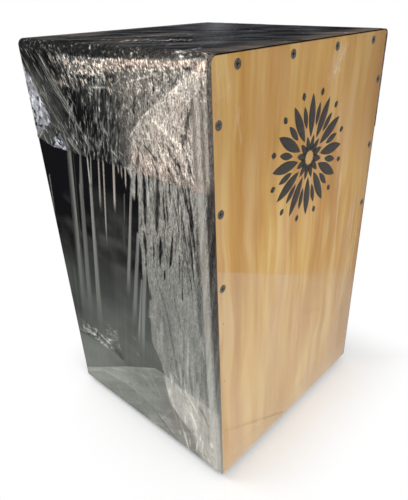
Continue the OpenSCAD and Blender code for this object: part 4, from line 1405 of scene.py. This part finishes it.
class CAJON_OT_stage(bpy.types.Operator):
    """White studio with a pale floor, soft lamps and the camera"""

    bl_idname = "cajon.stage"
    bl_label = "Studio"
    floor_half = 8.0
    shadow_reach = 0.11

    def lamp(self, name, kind, place, aim, **settings):
        """A lamp at a place that shines at a point."""
        data = bpy.data.lights.new(name, kind)
        for key, value in settings.items():
            setattr(data, key, value)
        made = bpy.data.objects.new(name, data)
        made.location = place
        made.rotation_euler = (Vector(aim) - Vector(place)).to_track_quat("-Z", "Y").to_euler()
        bpy.context.scene.collection.objects.link(made)

    def seen(self, tree):
        """1 for rays from the camera, off gloss or through film, 0 for rays that light the object."""
        outputs = Wire(tree).node("ShaderNodeLightPath").socket.node.outputs
        camera, gloss, through = (Wire(tree, outputs[f"Is {kind} Ray"])
                                  for kind in ("Camera", "Glossy", "Transmission"))
        return camera.math("MAXIMUM", camera, gloss.math("MAXIMUM", gloss, through))

    def execute(self, context):
        stage = context.scene.cajon_stage
        scene = context.scene
        scene.view_settings.view_transform = "Standard"
        world = bpy.data.worlds.new("white_room")
        scene.world = world
        world.use_nodes = True
        tree = world.node_tree
        sky = tree.nodes["Background"]
        sky.inputs["Color"].default_value = (1, 1, 1, 1)
        (stage.sky + (1 - stage.sky) * self.seen(tree)).into(sky, "Strength")
        corners = np.array(((-1, -1, 0), (1, -1, 0), (1, 1, 0), (-1, 1, 0))) * self.floor_half / MM
        floor = quads_mesh("studio_floor", corners, np.array(((0, 1, 2, 3),)))
        pale, shader, place = finish_of("studio_floor", {"Roughness": 0.9, "Specular IOR Level": 0.0})
        cloud = place.noise((3, 3, 3), 2.0)
        cloud.blend((0.95, 0.95, 0.95), (0.97, 0.97, 0.97)).into(shader, "Base Color")
        floor.data.materials.append(pale)
        x, y = place.axes()[:2]
        away = x.math("MAXIMUM", abs(x) - HALF_W * MM, abs(y) - DEPTH / 2 * MM)
        glow = place.node("ShaderNodeEmission", None, {"Color": (1, 1, 1, 1), "Strength": 1.0})
        tree = pale.node_tree
        fade = self.seen(tree) * away.ease(0.0, self.shadow_reach)
        both = place.node("ShaderNodeMixShader", None, {0: fade, 1: Wire(tree, shader.outputs[0]), 2: glow})
        both.into(tree.nodes["Material Output"], "Surface")
        self.lamp("wide_lamp", "SUN", (-1.2, -2.1, 2.6), (0, 0, 0.25), energy=stage.key, angle=0.9)
        self.lamp("rim_box", "AREA", (-0.80, 0.95, 1.30), (-0.12, 0, 0.42), energy=stage.rim, size=0.8)
        data = bpy.data.cameras.new("photo_camera")
        data.sensor_width = 36.0
        data.lens = stage.lens
        data.shift_x = stage.shift[0]
        data.shift_y = stage.shift[1]
        camera = bpy.data.objects.new("photo_camera", data)
        right = Vector(stage.right).normalized()
        back = -Vector(stage.forward).normalized()
        up = back.cross(right).normalized()
        turned = Matrix((right, up, back)).transposed().to_4x4()
        camera.matrix_world = Matrix.Translation(stage.camera) @ turned
        scene.collection.objects.link(camera)
        scene.camera = camera
        return {"FINISHED"}


class CAJON_PT_build(bpy.types.Panel):
    """The steps that make the looks, in order"""

    bl_label = "Cajon"
    bl_idname = "CAJON_PT_build"
    bl_space_type = "VIEW_3D"
    bl_region_type = "UI"
    bl_category = "Cajon"

    def draw(self, context):
        for step in STEPS:
            self.layout.operator(step.bl_idname)
        for name, group in GROUPS.items():
            part = self.layout.box()
            for key in group.__annotations__:
                part.prop(getattr(context.scene, name), key)


STEPS = (
    CAJON_OT_boards, CAJON_OT_tapa, CAJON_OT_rosette, CAJON_OT_fasteners, CAJON_OT_joinery, CAJON_OT_feet,
    CAJON_OT_snare, CAJON_OT_film_sides, CAJON_OT_film_front, CAJON_OT_film_back, CAJON_OT_film_cap,
    CAJON_OT_film_tail, CAJON_OT_stage,
)
GROUPS = {
    "cajon_wood": CajonWood,
    "cajon_rosette": CajonRosette,
    "cajon_film": CajonFilm,
    "cajon_snare": CajonSnare,
    "cajon_stage": CajonStage,
}


def register():
    """Register the classes and put the settings on the scene."""
    for name, group in GROUPS.items():
        bpy.utils.register_class(group)
        setattr(bpy.types.Scene, name, bpy.props.PointerProperty(type=group))
    for step in STEPS:
        bpy.utils.register_class(step)
    bpy.utils.register_class(CAJON_PT_build)


def unregister():
    """Take the classes and settings away again."""
    bpy.utils.unregister_class(CAJON_PT_build)
    for step in reversed(STEPS):
        bpy.utils.unregister_class(step)
    for name, group in reversed(list(GROUPS.items())):
        delattr(bpy.types.Scene, name)
        bpy.utils.unregister_class(group)


def main():
    """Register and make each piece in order."""
    register()
    for step in STEPS:
        getattr(bpy.ops.cajon, step.bl_idname.split(".")[1])()


if __name__ == "__main__":
    main()
